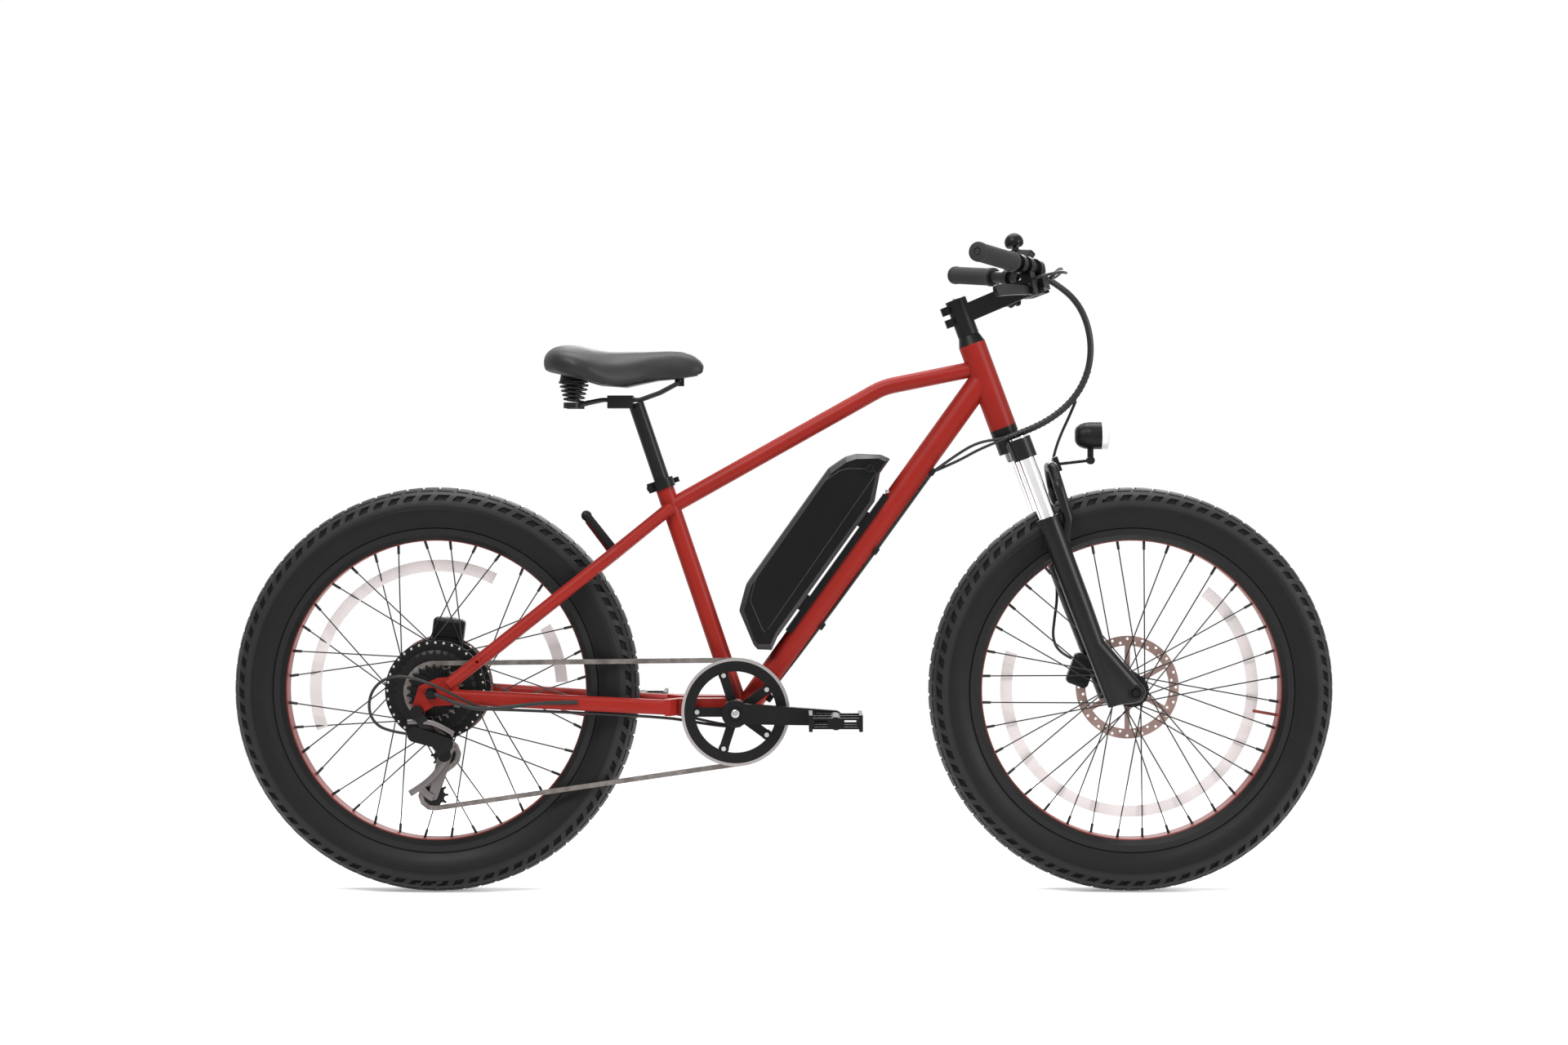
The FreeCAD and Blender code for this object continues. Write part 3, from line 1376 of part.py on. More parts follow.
def make_stem():
    clamp = rod(steer_point(stem_foot, 0), steer_point(steerer_end, 0), stem_clamp_radius)
    half = stem_arm_height / 2
    low = steerer_end - stem_arm_height * stem_arm_drop_share

    def arm_plane(ahead, rise):
        return steer_point(rise, ahead, -stem_arm_width / 2)

    arm = Part.Face(outline(
        arm_plane, (0, low - half), (stem_reach, stem_bar_rise - half), (stem_reach, stem_bar_rise + half),
        (0, low + half))).extrude(Y_DIRECTION * stem_arm_width)
    clamp_half = Y_DIRECTION * (stem_bar_clamp_width / 2)
    bar_clamp = rod(bar_center - clamp_half, bar_center + clamp_half, stem_bar_clamp_radius)
    face = block(bar_center + steer_ahead * (stem_face_depth / 2), steer_ahead, Y_DIRECTION, stem_face_depth,
                 stem_bar_clamp_width, 2 * stem_bar_clamp_radius)
    solids = [clamp, arm, bar_clamp, face]
    bolts = []
    for share in stem_ear_shares:
        rise = stem_foot + (steerer_end - stem_foot) * share
        ear = steer_point(rise, -stem_clamp_radius - stem_ear_reach / 2)
        solids.append(
            block(ear, steer_ahead, Y_DIRECTION, 2 * stem_ear_reach, stem_ear_width, stem_ear_length))
        bolt_start = ear - Y_DIRECTION * (stem_ear_width / 2 + stem_bolt_head_length)
        bolts.append(rod(bolt_start, bolt_start + Y_DIRECTION * stem_bolt_head_length, stem_bolt_head_radius))
    for rise in (-1, 1):
        for side in (-1, 1):
            start = bar_center + steer_ahead * stem_face_depth
            start += steer_up * (rise * stem_bar_clamp_radius * stem_face_bolt_share)
            start += Y_DIRECTION * (side * stem_bar_clamp_width / 2 * stem_face_bolt_share / 2)
            bolts.append(rod(start, start + steer_ahead * stem_bolt_head_length, stem_bolt_head_radius))
    stem = joined(*solids)
    stem = stem.cut(rod(steer_point(stem_foot - overrun, 0), steer_point(steerer_end + overrun, 0),
                        steerer_radius + press_gap))
    stem = stem.cut(
        rod(bar_center - 2 * clamp_half, bar_center + 2 * clamp_half, bar_clamp_radius + press_gap))
    cap_low = steer_point(steerer_end, 0)
    cap = rod(cap_low, cap_low + steer_up * stem_cap_height, stem_clamp_radius)
    node("stem", stem, cap, *bolts)


def make_handlebar():
    flat = bar_center + Y_DIRECTION * bar_flat_half
    half = [bar_end, bar_knee, flat]
    points = half + [Vector(point.x, -point.y, point.z) for point in reversed(half)]
    bulge_half = Y_DIRECTION * (bar_clamp_width / 2)
    bar = joined(bent_rod(points, bar_radius, bar_bend_radius),
                 rod(bar_center - bulge_half, bar_center + bulge_half, bar_clamp_radius))
    node("handlebar", bar.cut(bent_rod(points, bar_radius - bar_wall, bar_bend_radius)))
    collar = grip_length - grip_collar_length
    grip = stepped_rod(bar_end, bar_inward, (
        (-grip_cap_thickness, grip_radius - grip_cap_thickness / 2), (0, grip_radius), (collar, grip_radius),
        (collar, grip_collar_radius), (grip_length, grip_collar_radius)))
    grip = grip.cut(rod(bar_end, bar_place(grip_length + overrun), bar_radius + press_gap))
    node("grips", *both_sides(grip))


def bar_ring(place):
    half = bracket_ring_width / 2
    return tube(bar_place(place - half), bar_place(place + half), bracket_ring_radius, bar_radius + press_gap)


def make_brake_bracket():
    ring = bar_ring(brake_place)
    body_start = bar_place(brake_place - brake_body_back, brake_body_drop)
    body = rod(body_start, body_start + bar_inward * brake_body_length, brake_body_radius)
    pivot = bar_place(brake_place, brake_drop)
    cheek_offset = lever_eye_height / 2 + fit_gap + brake_cheek_thickness / 2
    solids = [ring, body]
    for side in (-1, 1):
        cheek = pivot + control_back * (side * cheek_offset)
        half = control_back * (brake_cheek_thickness / 2)
        solids.append(rod(cheek - half, cheek + half, brake_cheek_radius))
        drop = brake_drop - brake_body_drop / 2
        middle = bar_place(brake_place, brake_drop - drop / 2) + control_back * (side * cheek_offset)
        solids.append(
            block(middle, control_down, bar_inward, drop, 2 * brake_cheek_radius, brake_cheek_thickness))
    pin_half = control_back * (cheek_offset + brake_cheek_thickness / 2)
    solids.append(rod(pivot - pin_half, pivot + pin_half, lever_pin_radius))
    bracket = joined(*solids)
    bracket = bracket.cut(rod(bar_end, bar_place(brake_place + grip_length), bar_radius + press_gap))
    eye_half = control_back * (lever_eye_height / 2)
    eye = rod(pivot - eye_half, pivot + eye_half, lever_eye_radius)
    blade_half = control_back * (lever_blade_thickness / 2)

    def lever_plane(out, down):
        place = control_down * (lever_eye_radius * down) - bar_inward * (lever_reach * out)
        return pivot - blade_half + place

    blade = Part.Face(outline(lever_plane, *lever_outline_shares)).extrude(2 * blade_half)
    lever = joined(eye, blade)
    lever = lever.cut(rod(pivot - 2 * pin_half, pivot + 2 * pin_half, lever_pin_radius + fit_gap))
    print("brake pivot", pivot, "axis", control_back)
    return bracket, lever


def make_shifter():
    """The shifter pod and its thumb lever, made on the left and mirrored to the right."""
    pod = block(bar_place(shifter_place, shifter_pod_drop), bar_inward, control_back, shifter_pod_length,
                shifter_pod_width, shifter_pod_height)
    pod = joined(bar_ring(shifter_place), pod)
    pod = pod.cut(rod(bar_end, bar_place(shifter_place + grip_length), bar_radius + press_gap))
    hub_drop = shifter_pod_drop + shifter_pod_height / 2 + fit_gap
    hub_start = bar_place(shifter_place, hub_drop)
    hub_end = bar_place(shifter_place, hub_drop + shift_hub_height)
    pin = rod(bar_place(shifter_place, shifter_pod_drop), hub_end, lever_pin_radius)
    pod = joined(pod, pin)
    thumb = block(
        bar_place(shifter_place, hub_drop + shift_hub_height / 2, shift_lever_length / 2),
        control_back, bar_inward,
        shift_lever_length, shift_lever_width, shift_lever_thickness)
    lever = joined(rod(hub_start, hub_end, shift_hub_radius), thumb)
    lever = lever.cut(
        rod(bar_place(shifter_place), hub_end + control_down * overrun, lever_pin_radius + fit_gap))
    print("shift pivot", mirror_point(hub_start), "axis", mirror_point(control_down))
    return mirrored(pod), mirrored(lever)


def mirror_point(point):
    return Vector(point.x, -point.y, point.z)


def make_bell():
    base_low = bar_place(bell_place, -bell_rise)
    stalk = rod(bar_place(bell_place, sunk - bracket_ring_radius), base_low, bell_stalk_radius)
    base_high = base_low - control_down * bell_base_thickness
    base = rod(base_low, base_high, bell_radius - bell_wall)
    mount = joined(bar_ring(bell_place), stalk, base)

    def dome_plane(radius, rise):
        return Vector(radius, 0, rise)

    inner = bell_radius - bell_wall
    inner_top = bell_height - bell_wall
    bulge, crest = bell_bulge_shares
    dome = Part.Face(outline(
        dome_plane, (inner, 0), (bell_radius, 0),
        ((bell_radius * bulge, bell_height * bulge), (bell_radius * crest, bell_height)), (0, bell_height),
        (0, inner_top), (inner * crest, inner_top), ((inner * bulge, inner_top * bulge), (inner, 0))))
    dome = dome.revolve(Vector(0, 0, 0), Z_DIRECTION, 360)
    if dome.Volume < 0:
        dome.reverse()
    dome.Placement = Placement(base_high, Rotation(Z_DIRECTION, -control_down))
    eye_low = bar_place(bell_place, -striker_rise + striker_eye_height / 2)
    eye_high = bar_place(bell_place, -striker_rise - striker_eye_height / 2)
    knob = bar_place(bell_place, -striker_rise, striker_length)
    arm_start = bar_place(bell_place, -striker_rise, (striker_eye_radius + bell_stalk_radius) / 2)
    arm = rod(arm_start, knob, striker_radius)
    half = control_down * (striker_knob_radius - striker_radius)
    striker = joined(
        rod(eye_low, eye_high, striker_eye_radius), arm, rod(knob - half, knob + half, striker_knob_radius))
    striker = striker.cut(rod(bar_place(bell_place), base_low, bell_stalk_radius + fit_gap))
    print("bell pivot", mirror_point(eye_low))
    node("bell_striker", mirrored(striker))
    return mirrored(mount), mirrored(dome)


def make_display():
    tilt = math.radians(display_tilt_deg)
    face_out = control_back * math.sin(tilt) - control_down * math.cos(tilt)
    face_up = face_out.cross(bar_inward)
    center = bar_place(shifter_place, -display_rise)
    case = block(center, bar_inward, face_up, display_width, display_height, display_thickness)
    case = case.makeFillet(display_border, case.Edges)
    stalk = rod(bar_place(shifter_place, sunk - bracket_ring_radius), center, display_stalk_radius)
    ring = bar_ring(shifter_place)
    screen = block(
        center + face_out * ((display_thickness - display_screen_depth) / 2 + press_gap), bar_inward, face_up,
        display_width - 2 * display_screen_border, display_height - 2 * display_screen_border,
        display_screen_depth)
    node("display", joined(ring, stalk, case.cut(screen)), screen)


def make_controls():
    bell = make_bell()
    make_display()
    bracket, lever = make_brake_bracket()
    pod, shift_lever = make_shifter()
    node("control_brackets", *both_sides(bracket), pod, *bell)
    node("brake_lever_left", lever)
    node("brake_lever_right", mirrored(lever))
    node("shift_lever", shift_lever)


# Lights

def make_headlight():
    hinge = steer_point(headlight_hinge_rise, headlight_hinge_ahead)
    arch_top = steer_point(leg_top + arch_rise, stanchion_ahead + arch_ahead)
    foot = arch_top + steer_ahead * (arch_radius + light_foot_depth / 2 - sunk)
    foot_block = block(
        foot, steer_ahead, Y_DIRECTION, light_foot_depth, light_bracket_width, light_foot_height)
    arm_run = hinge - foot
    arm = block((foot + hinge) / 2, (hinge - foot).normalize(), Y_DIRECTION, arm_run.Length,
                light_bracket_width,
                light_bracket_thickness)
    half = Y_DIRECTION * (light_bracket_width / 2)
    slot_half = Y_DIRECTION * (hinge_eye_width / 2 + fit_gap)
    bracket = joined(foot_block, arm, rod(hinge - half, hinge + half, hinge_eye_radius))
    bracket = bracket.cut(rod(hinge - slot_half, hinge + slot_half, hinge_eye_radius + hinge_eye_room))
    bracket = joined(bracket, rod(hinge - half, hinge + half, hinge_pin_radius))
    node("headlight_bracket", bracket.cut(bent_rod(arch_points(), arch_radius, arch_bend_radius)))
    center = hinge + Z_DIRECTION * headlight_over_hinge
    back = center - X_DIRECTION * (headlight_length * headlight_back_share)
    skin = [(headlight_length * along, headlight_radius * reach) for along, reach in headlight_outline_shares]
    body = stepped_rod(back, X_DIRECTION, skin)
    inside = [(along + headlight_wall, reach - headlight_wall) for along, reach in skin]
    hollow = stepped_rod(back, X_DIRECTION, inside)
    lug_height = headlight_over_hinge - headlight_radius + headlight_wall / 2
    lug = block(hinge + Z_DIRECTION * (lug_height / 2), X_DIRECTION, Y_DIRECTION, headlight_lug_length,
                hinge_eye_width, lug_height)
    eye_half = Y_DIRECTION * (hinge_eye_width / 2)
    eye = rod(hinge - eye_half, hinge + eye_half, hinge_eye_radius)
    housing = joined(body, lug, eye).cut(hollow)
    node("headlight_housing", housing.cut(rod(hinge - half, hinge + half, hinge_pin_radius + fit_gap)))
    lens_start = back + X_DIRECTION * (headlight_length - lens_thickness / 2)
    lens_radius = headlight_radius - headlight_wall - press_gap
    lens = rod(lens_start, lens_start + X_DIRECTION * lens_thickness, lens_radius)
    node("headlight_lens", lens)
    print("headlight hinge", hinge)


# Drive

def pitch_radius(teeth):
    return chain_pitch / 2 / math.sin(math.pi / teeth)


def toothed_plate(teeth, phase, side, bore):
    """A sprocket: round seats for the rollers, with a tooth between each two."""
    reach = pitch_radius(teeth)
    seat = roller_radius + roller_gap
    tip = reach + tooth_rise
    step = 2 * math.pi / teeth
    edges = []
    for index in range(teeth):
        angle = phase + index * step
        center = polar(reach, angle)
        flank = math.radians(tooth_flank_deg)
        start = center - polar(seat, angle + flank)
        middle = center - polar(seat, angle)
        end = center - polar(seat, angle - flank)
        tip_start = polar(tip, angle + step * (1 - tooth_tip_share) / 2)
        tip_end = polar(tip, angle + step * (1 + tooth_tip_share) / 2)
        next_center = polar(reach, angle + step)
        following = next_center - polar(seat, angle + step + flank)
        edges.append(Part.Arc(start, middle, end).toShape())
        for here, there in ((end, tip_start), (tip_start, tip_end), (tip_end, following)):
            edges.append(Part.LineSegment(here, there).toShape())
    hole = Part.Wire(Part.makeCircle(bore, Vector(0, 0, 0), Y_DIRECTION))
    face = Part.makeFace([Part.Wire(edges), hole], "Part::FaceMakerBullseye")
    plate = face.extrude(Y_DIRECTION * tooth_thickness)
    plate.translate(Y_DIRECTION * (-side - tooth_thickness / 2))
    return plate


upper_jockey = rear_center + Vector(upper_jockey_ahead, 0, -upper_jockey_drop)


def lower_jockey(cage_angle):
    return upper_jockey + polar(jockey_distance, cage_angle)


def chain_stretches(cage_angle):
    """The chain's loop as arcs and straight runs, each with its length counted in links."""
    wheels = (
        (bb_center, ring_teeth, 1), (lower_jockey(cage_angle), jockey_teeth, 1),
        (upper_jockey, jockey_teeth, -1),
        (rear_center, sprocket_teeth[drive_index], 1))
    tangents = []
    for (start, start_teeth, start_turn), (end, end_teeth, end_turn) in zip(wheels, wheels[1:] + wheels[:1]):
        span = end - start
        start_reach = start_turn * pitch_radius(start_teeth)
        end_reach = end_turn * pitch_radius(end_teeth)
        angle = math.atan2(span.z, span.x) - math.asin((start_reach - end_reach) / span.Length)
        length = math.sqrt(span.Length ** 2 - (start_reach - end_reach) ** 2)
        tangents.append((angle, length))
    stretches = []
    for index, (center, teeth, turn) in enumerate(wheels):
        arrive = tangents[index - 1][0]
        leave, length = tangents[index]
        swing = (turn * (arrive - leave)) % (2 * math.pi)
        first = arrive + turn * math.pi / 2
        reach = pitch_radius(teeth)
        step = 2 * math.pi / teeth
        stretches.append((swing / step, center, reach, first, -turn * step))
        last = center + polar(reach, leave + turn * math.pi / 2)
        stretches.append((length / chain_pitch, last, leave))
    return stretches


def chain_links(cage_angle):
    return sum(stretch[0] for stretch in chain_stretches(cage_angle))


def fitted_cage_angle():
    """The cage angle at which the loop takes a whole, even number of links."""
    low = math.radians(cage_nominal_deg - cage_search_deg)
    high = math.radians(cage_nominal_deg + cage_search_deg)
    middle = chain_links(math.radians(cage_nominal_deg))
    target = 2 * round(middle / 2)
    rising = chain_links(high) > chain_links(low)
    for _ in range(cage_search_steps):
        guess = (low + high) / 2
        if (chain_links(guess) < target) == rising:
            low = guess
        else:
            high = guess
    return (low + high) / 2, target


cage_angle, link_count = fitted_cage_angle()
chain_loop = chain_stretches(cage_angle)


def chain_roller(index):
    """Where a roller lies, by its count along the loop from the chainring."""
    for stretch in chain_loop:
        if index <= stretch[0]:
            if len(stretch) == 5:
                count, center, reach, first, step = stretch
                return center + polar(reach, first + step * index)
            count, start, heading = stretch
            return start + polar(chain_pitch * index, heading)
        index -= stretch[0]
    return chain_roller(0)


def seat_phase(wheel):
    """The angle of the first roller on a wheel of the loop, where its sprocket has a seat."""
    before = sum(stretch[0] for stretch in chain_loop[:2 * wheel])
    first = math.ceil(before) - before
    count, center, reach, start, step = chain_loop[2 * wheel]
    return start + step * first


def make_chain():
    inner_half = roller_width / 2
    plate = link_plate_thickness
    outer_half = inner_half + plate + link_plate_gap
    core = roller_radius

    def link_shape(half_gap, post_radius, bore, proud):
        def link_plane(x, z):
            return Vector(x, 0, z)
        wire = outline(
            link_plane, (0, -link_plate_radius), (chain_pitch, -link_plate_radius),
            ((chain_pitch + link_plate_radius, 0), (chain_pitch, link_plate_radius)), (0, link_plate_radius),
            ((-link_plate_radius, 0), (0, -link_plate_radius)))
        solids = [side_plate(wire, half_gap, half_gap + plate),
                  side_plate(wire, -half_gap - plate, -half_gap)]
        reach = Y_DIRECTION * (half_gap + plate + proud)
        for x in (0, chain_pitch):
            foot = Vector(x, 0, 0)
            solids.append(rod(foot - reach, foot + reach, post_radius))
        link = joined(*solids)
        if bore:
            for x in (0, chain_pitch):
                foot = Vector(x, 0, 0)
                link = link.cut(rod(foot - 2 * reach, foot + 2 * reach, bore))
        return link

    roller_link = link_shape(inner_half, core, pin_radius + pin_gap, 0)
    pin_link = link_shape(outer_half, pin_radius, 0, pin_proud)
    links = []
    for index in range(link_count):
        start = chain_roller(index)
        end = chain_roller((index + 1) % link_count)
        run = end - start
        link = (pin_link if index % 2 else roller_link).copy()
        turn = Rotation(Y_DIRECTION, -math.degrees(math.atan2(run.z, run.x)))
        link.Placement = Placement(start - Y_DIRECTION * chain_line, turn)
        links.append(link)
    node("chain", *links)
    print("chain links", link_count, "cage angle", round(math.degrees(cage_angle), 2))


def tapered_arm(length, start_radius, end_radius, start_side, end_side):
    wire = outline(
        side_plane, (0, -start_radius), (length, -end_radius),
        ((length + end_radius, 0), (length, end_radius)),
        (0, start_radius), ((-start_radius, 0), (0, -start_radius)))
    return side_plate(wire, start_side, end_side)


def make_cranks():
    outer = crank_side + crank_thickness
    bolts = []
    tabs = []
    arms = []
    ring_face = chain_line + tooth_thickness / 2
    spider_face = ring_face + spider_thickness
    for index in range(spider_arm_count):
        angle = math.pi + 2 * math.pi * index / spider_arm_count
        spot = polar(ring_bolt_circle, angle)
        arms.append(block(
            spot / 2 - Y_DIRECTION * ((ring_face + spider_face) / 2), polar(1, angle), Y_DIRECTION,
            ring_bolt_circle + spider_arm_width, spider_thickness, spider_arm_width))
        tabs.append(rod(spot - Y_DIRECTION * ring_face, spot - Y_DIRECTION * (ring_face - tooth_thickness),
                        ring_tab_radius))
        bolts.append(rod(spot - Y_DIRECTION * (spider_face + tooth_thickness),
                         spot - Y_DIRECTION * (ring_face - 2 * tooth_thickness), ring_bolt_radius))
    inner = pitch_radius(ring_teeth) - ring_rim_depth
    ring = joined(toothed_plate(ring_teeth, seat_phase(0), chain_line, inner), *tabs)
    for bolt in bolts:
        ring = ring.cut(bolt)
    guard_face = guard_thickness - spider_face
    guard = tube(Y_DIRECTION * -spider_face, Y_DIRECTION * guard_face, guard_radius, inner)
    for arm in arms:
        guard = guard.cut(arm)
    node("chainring", *[piece.translated(bb_center) for piece in [ring, guard] + bolts])
    hub = rod(Y_DIRECTION * -crank_side, Y_DIRECTION * -ring_face, spider_hub_radius)
    spindle = Y_DIRECTION * outer
    pedal_place = crank_length * X_DIRECTION
    axle_end = Y_DIRECTION * (outer + pedal_gap + pedal_width - pedal_rail_thickness)
    for name, side in (("crank_right", -1), ("crank_left", 1)):
        shape = tapered_arm(crank_length, crank_root_radius, crank_end_radius, crank_side, outer)
        axle = rod(pedal_place + Y_DIRECTION * crank_side, pedal_place + axle_end, pedal_axle_radius)
        shape = joined(shape, axle)
        if side < 0:
            shape = mirrored(shape)
        else:
            shape.rotate(Vector(0, 0, 0), Y_DIRECTION, 180)
        shape.rotate(Vector(0, 0, 0), Y_DIRECTION, -crank_angle_deg)
        if side < 0:
            shape = joined(shape, hub, *arms)
            for bolt in bolts:
                shape = shape.cut(bolt)
            shape = shape.cut(rod(-2 * spindle, 2 * spindle, spindle_radius + press_gap))
        else:
            shape = joined(shape, rod(-spindle, spindle, spindle_radius))
        node(name, shape.translated(bb_center))
    for name, side in (("pedal_right", -1), ("pedal_left", 1)):
        pedal = make_pedal(outer + pedal_gap)
        place = polar(crank_length, math.radians(crank_angle_deg)) * -side
        node(name, (pedal if side > 0 else mirrored(pedal)).translated(bb_center + place))
        print(name, bb_center + place)


def make_pedal(start):
    end = start + pedal_width
    half = pedal_length / 2
    solids = [rod(Y_DIRECTION * start, Y_DIRECTION * end, pedal_barrel_radius)]
    for side in (-1, 1):
        center = Vector(side * (half - pedal_rail_thickness / 2), (start + end) / 2, 0)
        solids.append(
            block(center, X_DIRECTION, Y_DIRECTION, pedal_rail_thickness, pedal_width, pedal_height))
    for index in range(pedal_bar_count):
        share = index / (pedal_bar_count - 1)
        side = start + pedal_rail_thickness / 2 + (pedal_width - pedal_rail_thickness) * share
        solids.append(block(Y_DIRECTION * side, X_DIRECTION, Y_DIRECTION, pedal_length, pedal_rail_thickness,
                            pedal_height * pedal_bar_share))
    shape = joined(*solids)
    window_place = (half - pedal_rail_thickness + pedal_barrel_radius) / 2
    for side in (-1, 1):
        center = Vector(side * window_place, (start + end) / 2, 0)
        shape = shape.cut(block(center, X_DIRECTION, Y_DIRECTION, pedal_window_length, pedal_width + overrun,
                                pedal_height * pedal_bar_share * pedal_window_share))
    bore_end = end - pedal_rail_thickness + fit_gap
    bore = rod(Y_DIRECTION * (start - overrun), Y_DIRECTION * bore_end, pedal_axle_radius + fit_gap)
    return shape.cut(bore)


def make_freewheel():
    core_bore = freewheel_boss_radius + fit_gap
    core = core_bore + freewheel_core_wall
    sprockets = []
    for index, teeth in enumerate(sprocket_teeth):
        side = chain_line + (drive_index - index) * sprocket_pitch
        phase = seat_phase(3) if index == drive_index else 0
        sprockets.append(toothed_plate(teeth, phase, side, core + press_gap).translated(rear_center))
    inner = chain_line - (len(sprocket_teeth) - 1 - drive_index) * sprocket_pitch - sprocket_pitch / 2
    outer = chain_line + drive_index * sprocket_pitch + sprocket_pitch / 2
    body = tube(rear_center - Y_DIRECTION * inner, rear_center - Y_DIRECTION * outer, core, core_bore)
    node("freewheel", body, *sprockets)


def make_derailleur():
    plate_in = chain_line - cage_side
    plate_out = chain_line + cage_side
    lower = lower_jockey(cage_angle)
    hub_half = cage_side - fit_gap
    for name, center, wheel in (("jockey_upper", upper_jockey, 2), ("jockey_lower", lower, 1)):
        wheel_plate = toothed_plate(jockey_teeth, seat_phase(wheel), chain_line, jockey_hub_radius)
        hub = tube(Y_DIRECTION * (hub_half - chain_line), Y_DIRECTION * (-hub_half - chain_line),
                   jockey_hub_radius,
                   jockey_axle_radius + fit_gap)
        node(name, joined(wheel_plate, hub).translated(center))
    plates = []
    for start in (plate_in - cage_plate_thickness, plate_out):
        plate = tapered_arm(jockey_distance, cage_root_half, cage_plate_half,
                            -start - cage_plate_thickness, -start)
        plate.rotate(Vector(0, 0, 0), Y_DIRECTION, -math.degrees(cage_angle))
        plates.append(plate.translated(upper_jockey))
    outside = Y_DIRECTION * (-plate_out - cage_plate_thickness)
    inside = Y_DIRECTION * (cage_plate_thickness - plate_in)
    pin_end = Y_DIRECTION * (-plate_out - fit_gap)
    plates[1] = plates[1].cut(rod(upper_jockey, upper_jockey + 2 * outside, derailleur_pin_radius + fit_gap))
    upper_axle = rod(
        upper_jockey + inside, upper_jockey + Y_DIRECTION * (fit_gap - plate_out), jockey_axle_radius)
    lower_axle = rod(lower + inside, lower + outside, jockey_axle_radius)
    node("derailleur_cage", joined(plates[0], upper_axle, lower_axle, plates[1]))
    hanger = rear_center + Vector(-hanger_behind, 0, -hanger_drop)
    plate_face = rear_dropout_side + dropout_thickness
    knuckle_side = plate_face + hanger_knuckle_length * hanger_link_share
    b_knuckle = rod(hanger - Y_DIRECTION * plate_face,
                    hanger - Y_DIRECTION * (plate_face + hanger_knuckle_length),
                    derailleur_knuckle_radius)
    b_bolt = rod(hanger - Y_DIRECTION * rear_dropout_side, hanger - Y_DIRECTION * plate_face,
                 hanger_hole_radius - press_gap)
    p_start = plate_out + cage_plate_thickness + fit_gap
    p_side = p_start + derailleur_knuckle_length / 2
    p_knuckle = rod(upper_jockey - Y_DIRECTION * p_start,
                    upper_jockey - Y_DIRECTION * (p_start + derailleur_knuckle_length),
                    derailleur_knuckle_radius)
    pin = rod(upper_jockey - Y_DIRECTION * p_start, upper_jockey + pin_end, derailleur_pin_radius)
    start = hanger - Y_DIRECTION * knuckle_side
    end = upper_jockey - Y_DIRECTION * p_side
    run = (end - start).normalize()
    across = (Y_DIRECTION - run * run.y).normalize()
    link = block((start + end) / 2, run, across, (end - start).Length, derailleur_link_thickness,
                 derailleur_link_width)
    middle = (start + end) / 2
    shell = tapered_arm(derailleur_shell_length, derailleur_shell_radius, derailleur_shell_nose,
                        middle.y - derailleur_shell_width / 2, middle.y + derailleur_shell_width / 2)
    shell.rotate(Vector(0, 0, 0), Y_DIRECTION, derailleur_shell_drop_deg)
    shell.translate(Vector(middle.x - derailleur_shell_back, 0, middle.z))
    node("derailleur_body", joined(b_knuckle, b_bolt, link, shell, p_knuckle, pin))
    print("hanger", hanger, "upper jockey", upper_jockey, "lower jockey", lower)


# Brakes

def make_caliper(center, rotor_side, angle_deg, reach):
    angle = math.radians(angle_deg)
    out = polar(1, angle)
    along = Vector(-out.z, 0, out.x)
    width = caliper_inner_half + caliper_outer_half
    middle = rotor_side + (caliper_outer_half - caliper_inner_half) / 2
    body = block(center + out * reach + Y_DIRECTION * middle, along, Y_DIRECTION, caliper_length, width,
                 caliper_height)
    body = body.makeFillet(caliper_round, body.Edges)
    slot_half = Y_DIRECTION * (rotor_thickness / 2 + caliper_slot_gap)
    rotor_middle = center + Y_DIRECTION * rotor_side
    slot = rod(rotor_middle - slot_half, rotor_middle + slot_half, rotor_radius + caliper_rotor_room)
    return body.cut(slot)


def make_calipers():
    front = make_caliper(front_center, front_rotor_side, front_caliper_angle_deg, front_caliper_radius)
    node("front_brake_caliper", front.cut(leg_core(press_gap)))
    rear = make_caliper(rear_center, rear_rotor_side, rear_caliper_angle_deg, rear_caliper_radius)
    out = polar(1, math.radians(rear_caliper_angle_deg))
    start = rear_rotor_side + caliper_outer_half
    end_reach = rear_caliper_radius + caliper_height / 2
    length = end_reach - caliper_bracket_start
    middle = rear_center + out * (caliper_bracket_start + length / 2)
    middle += Y_DIRECTION * ((start + rear_dropout_side) / 2)
    bracket = block(middle, out, Y_DIRECTION, length, rear_dropout_side - start, caliper_bracket_width)
    node("rear_brake_caliper", joined(rear, bracket))


# Cables

def make_cables():
    port_place = brake_place + brake_body_length / 2 - brake_body_back
    port = bar_place(port_place, brake_body_drop, -brake_body_radius - press_gap)
    out = -down_tube_radius - cable_radius - fit_gap
    sleeve_out = -down_tube_radius - sleeve_radius - fit_gap
    sleeve = cable("sleeve", sleeve_route + (tuple(down_point(sleeve_end_along, sleeve_out)),), sleeve_radius)
    right = cable("right hose", (tuple(mirror_point(port)),) + right_hose_route, cable_radius)
    left = cable("left hose", (tuple(port),) + left_hose_route, cable_radius)
    node("steering_cables", joined(sleeve, right, left))
    node("front_brake_hose", cable("front hose", front_hose_route, cable_radius))
    lines = []
    for name, route, side in (("shift cable", shift_cable_route, -1), ("rear hose", rear_hose_route, 1)):
        along_tube = tuple(
            tuple(down_point(along, out, side * down_tube_cable_side))
            for along in (down_tube_cable_start, down_tube_cable_end))
        lines.append(cable(name, along_tube + route, cable_radius))
    lines.append(cable("motor cable", motor_cable_route, motor_cable_radius))
    node("frame_cables", *lines)


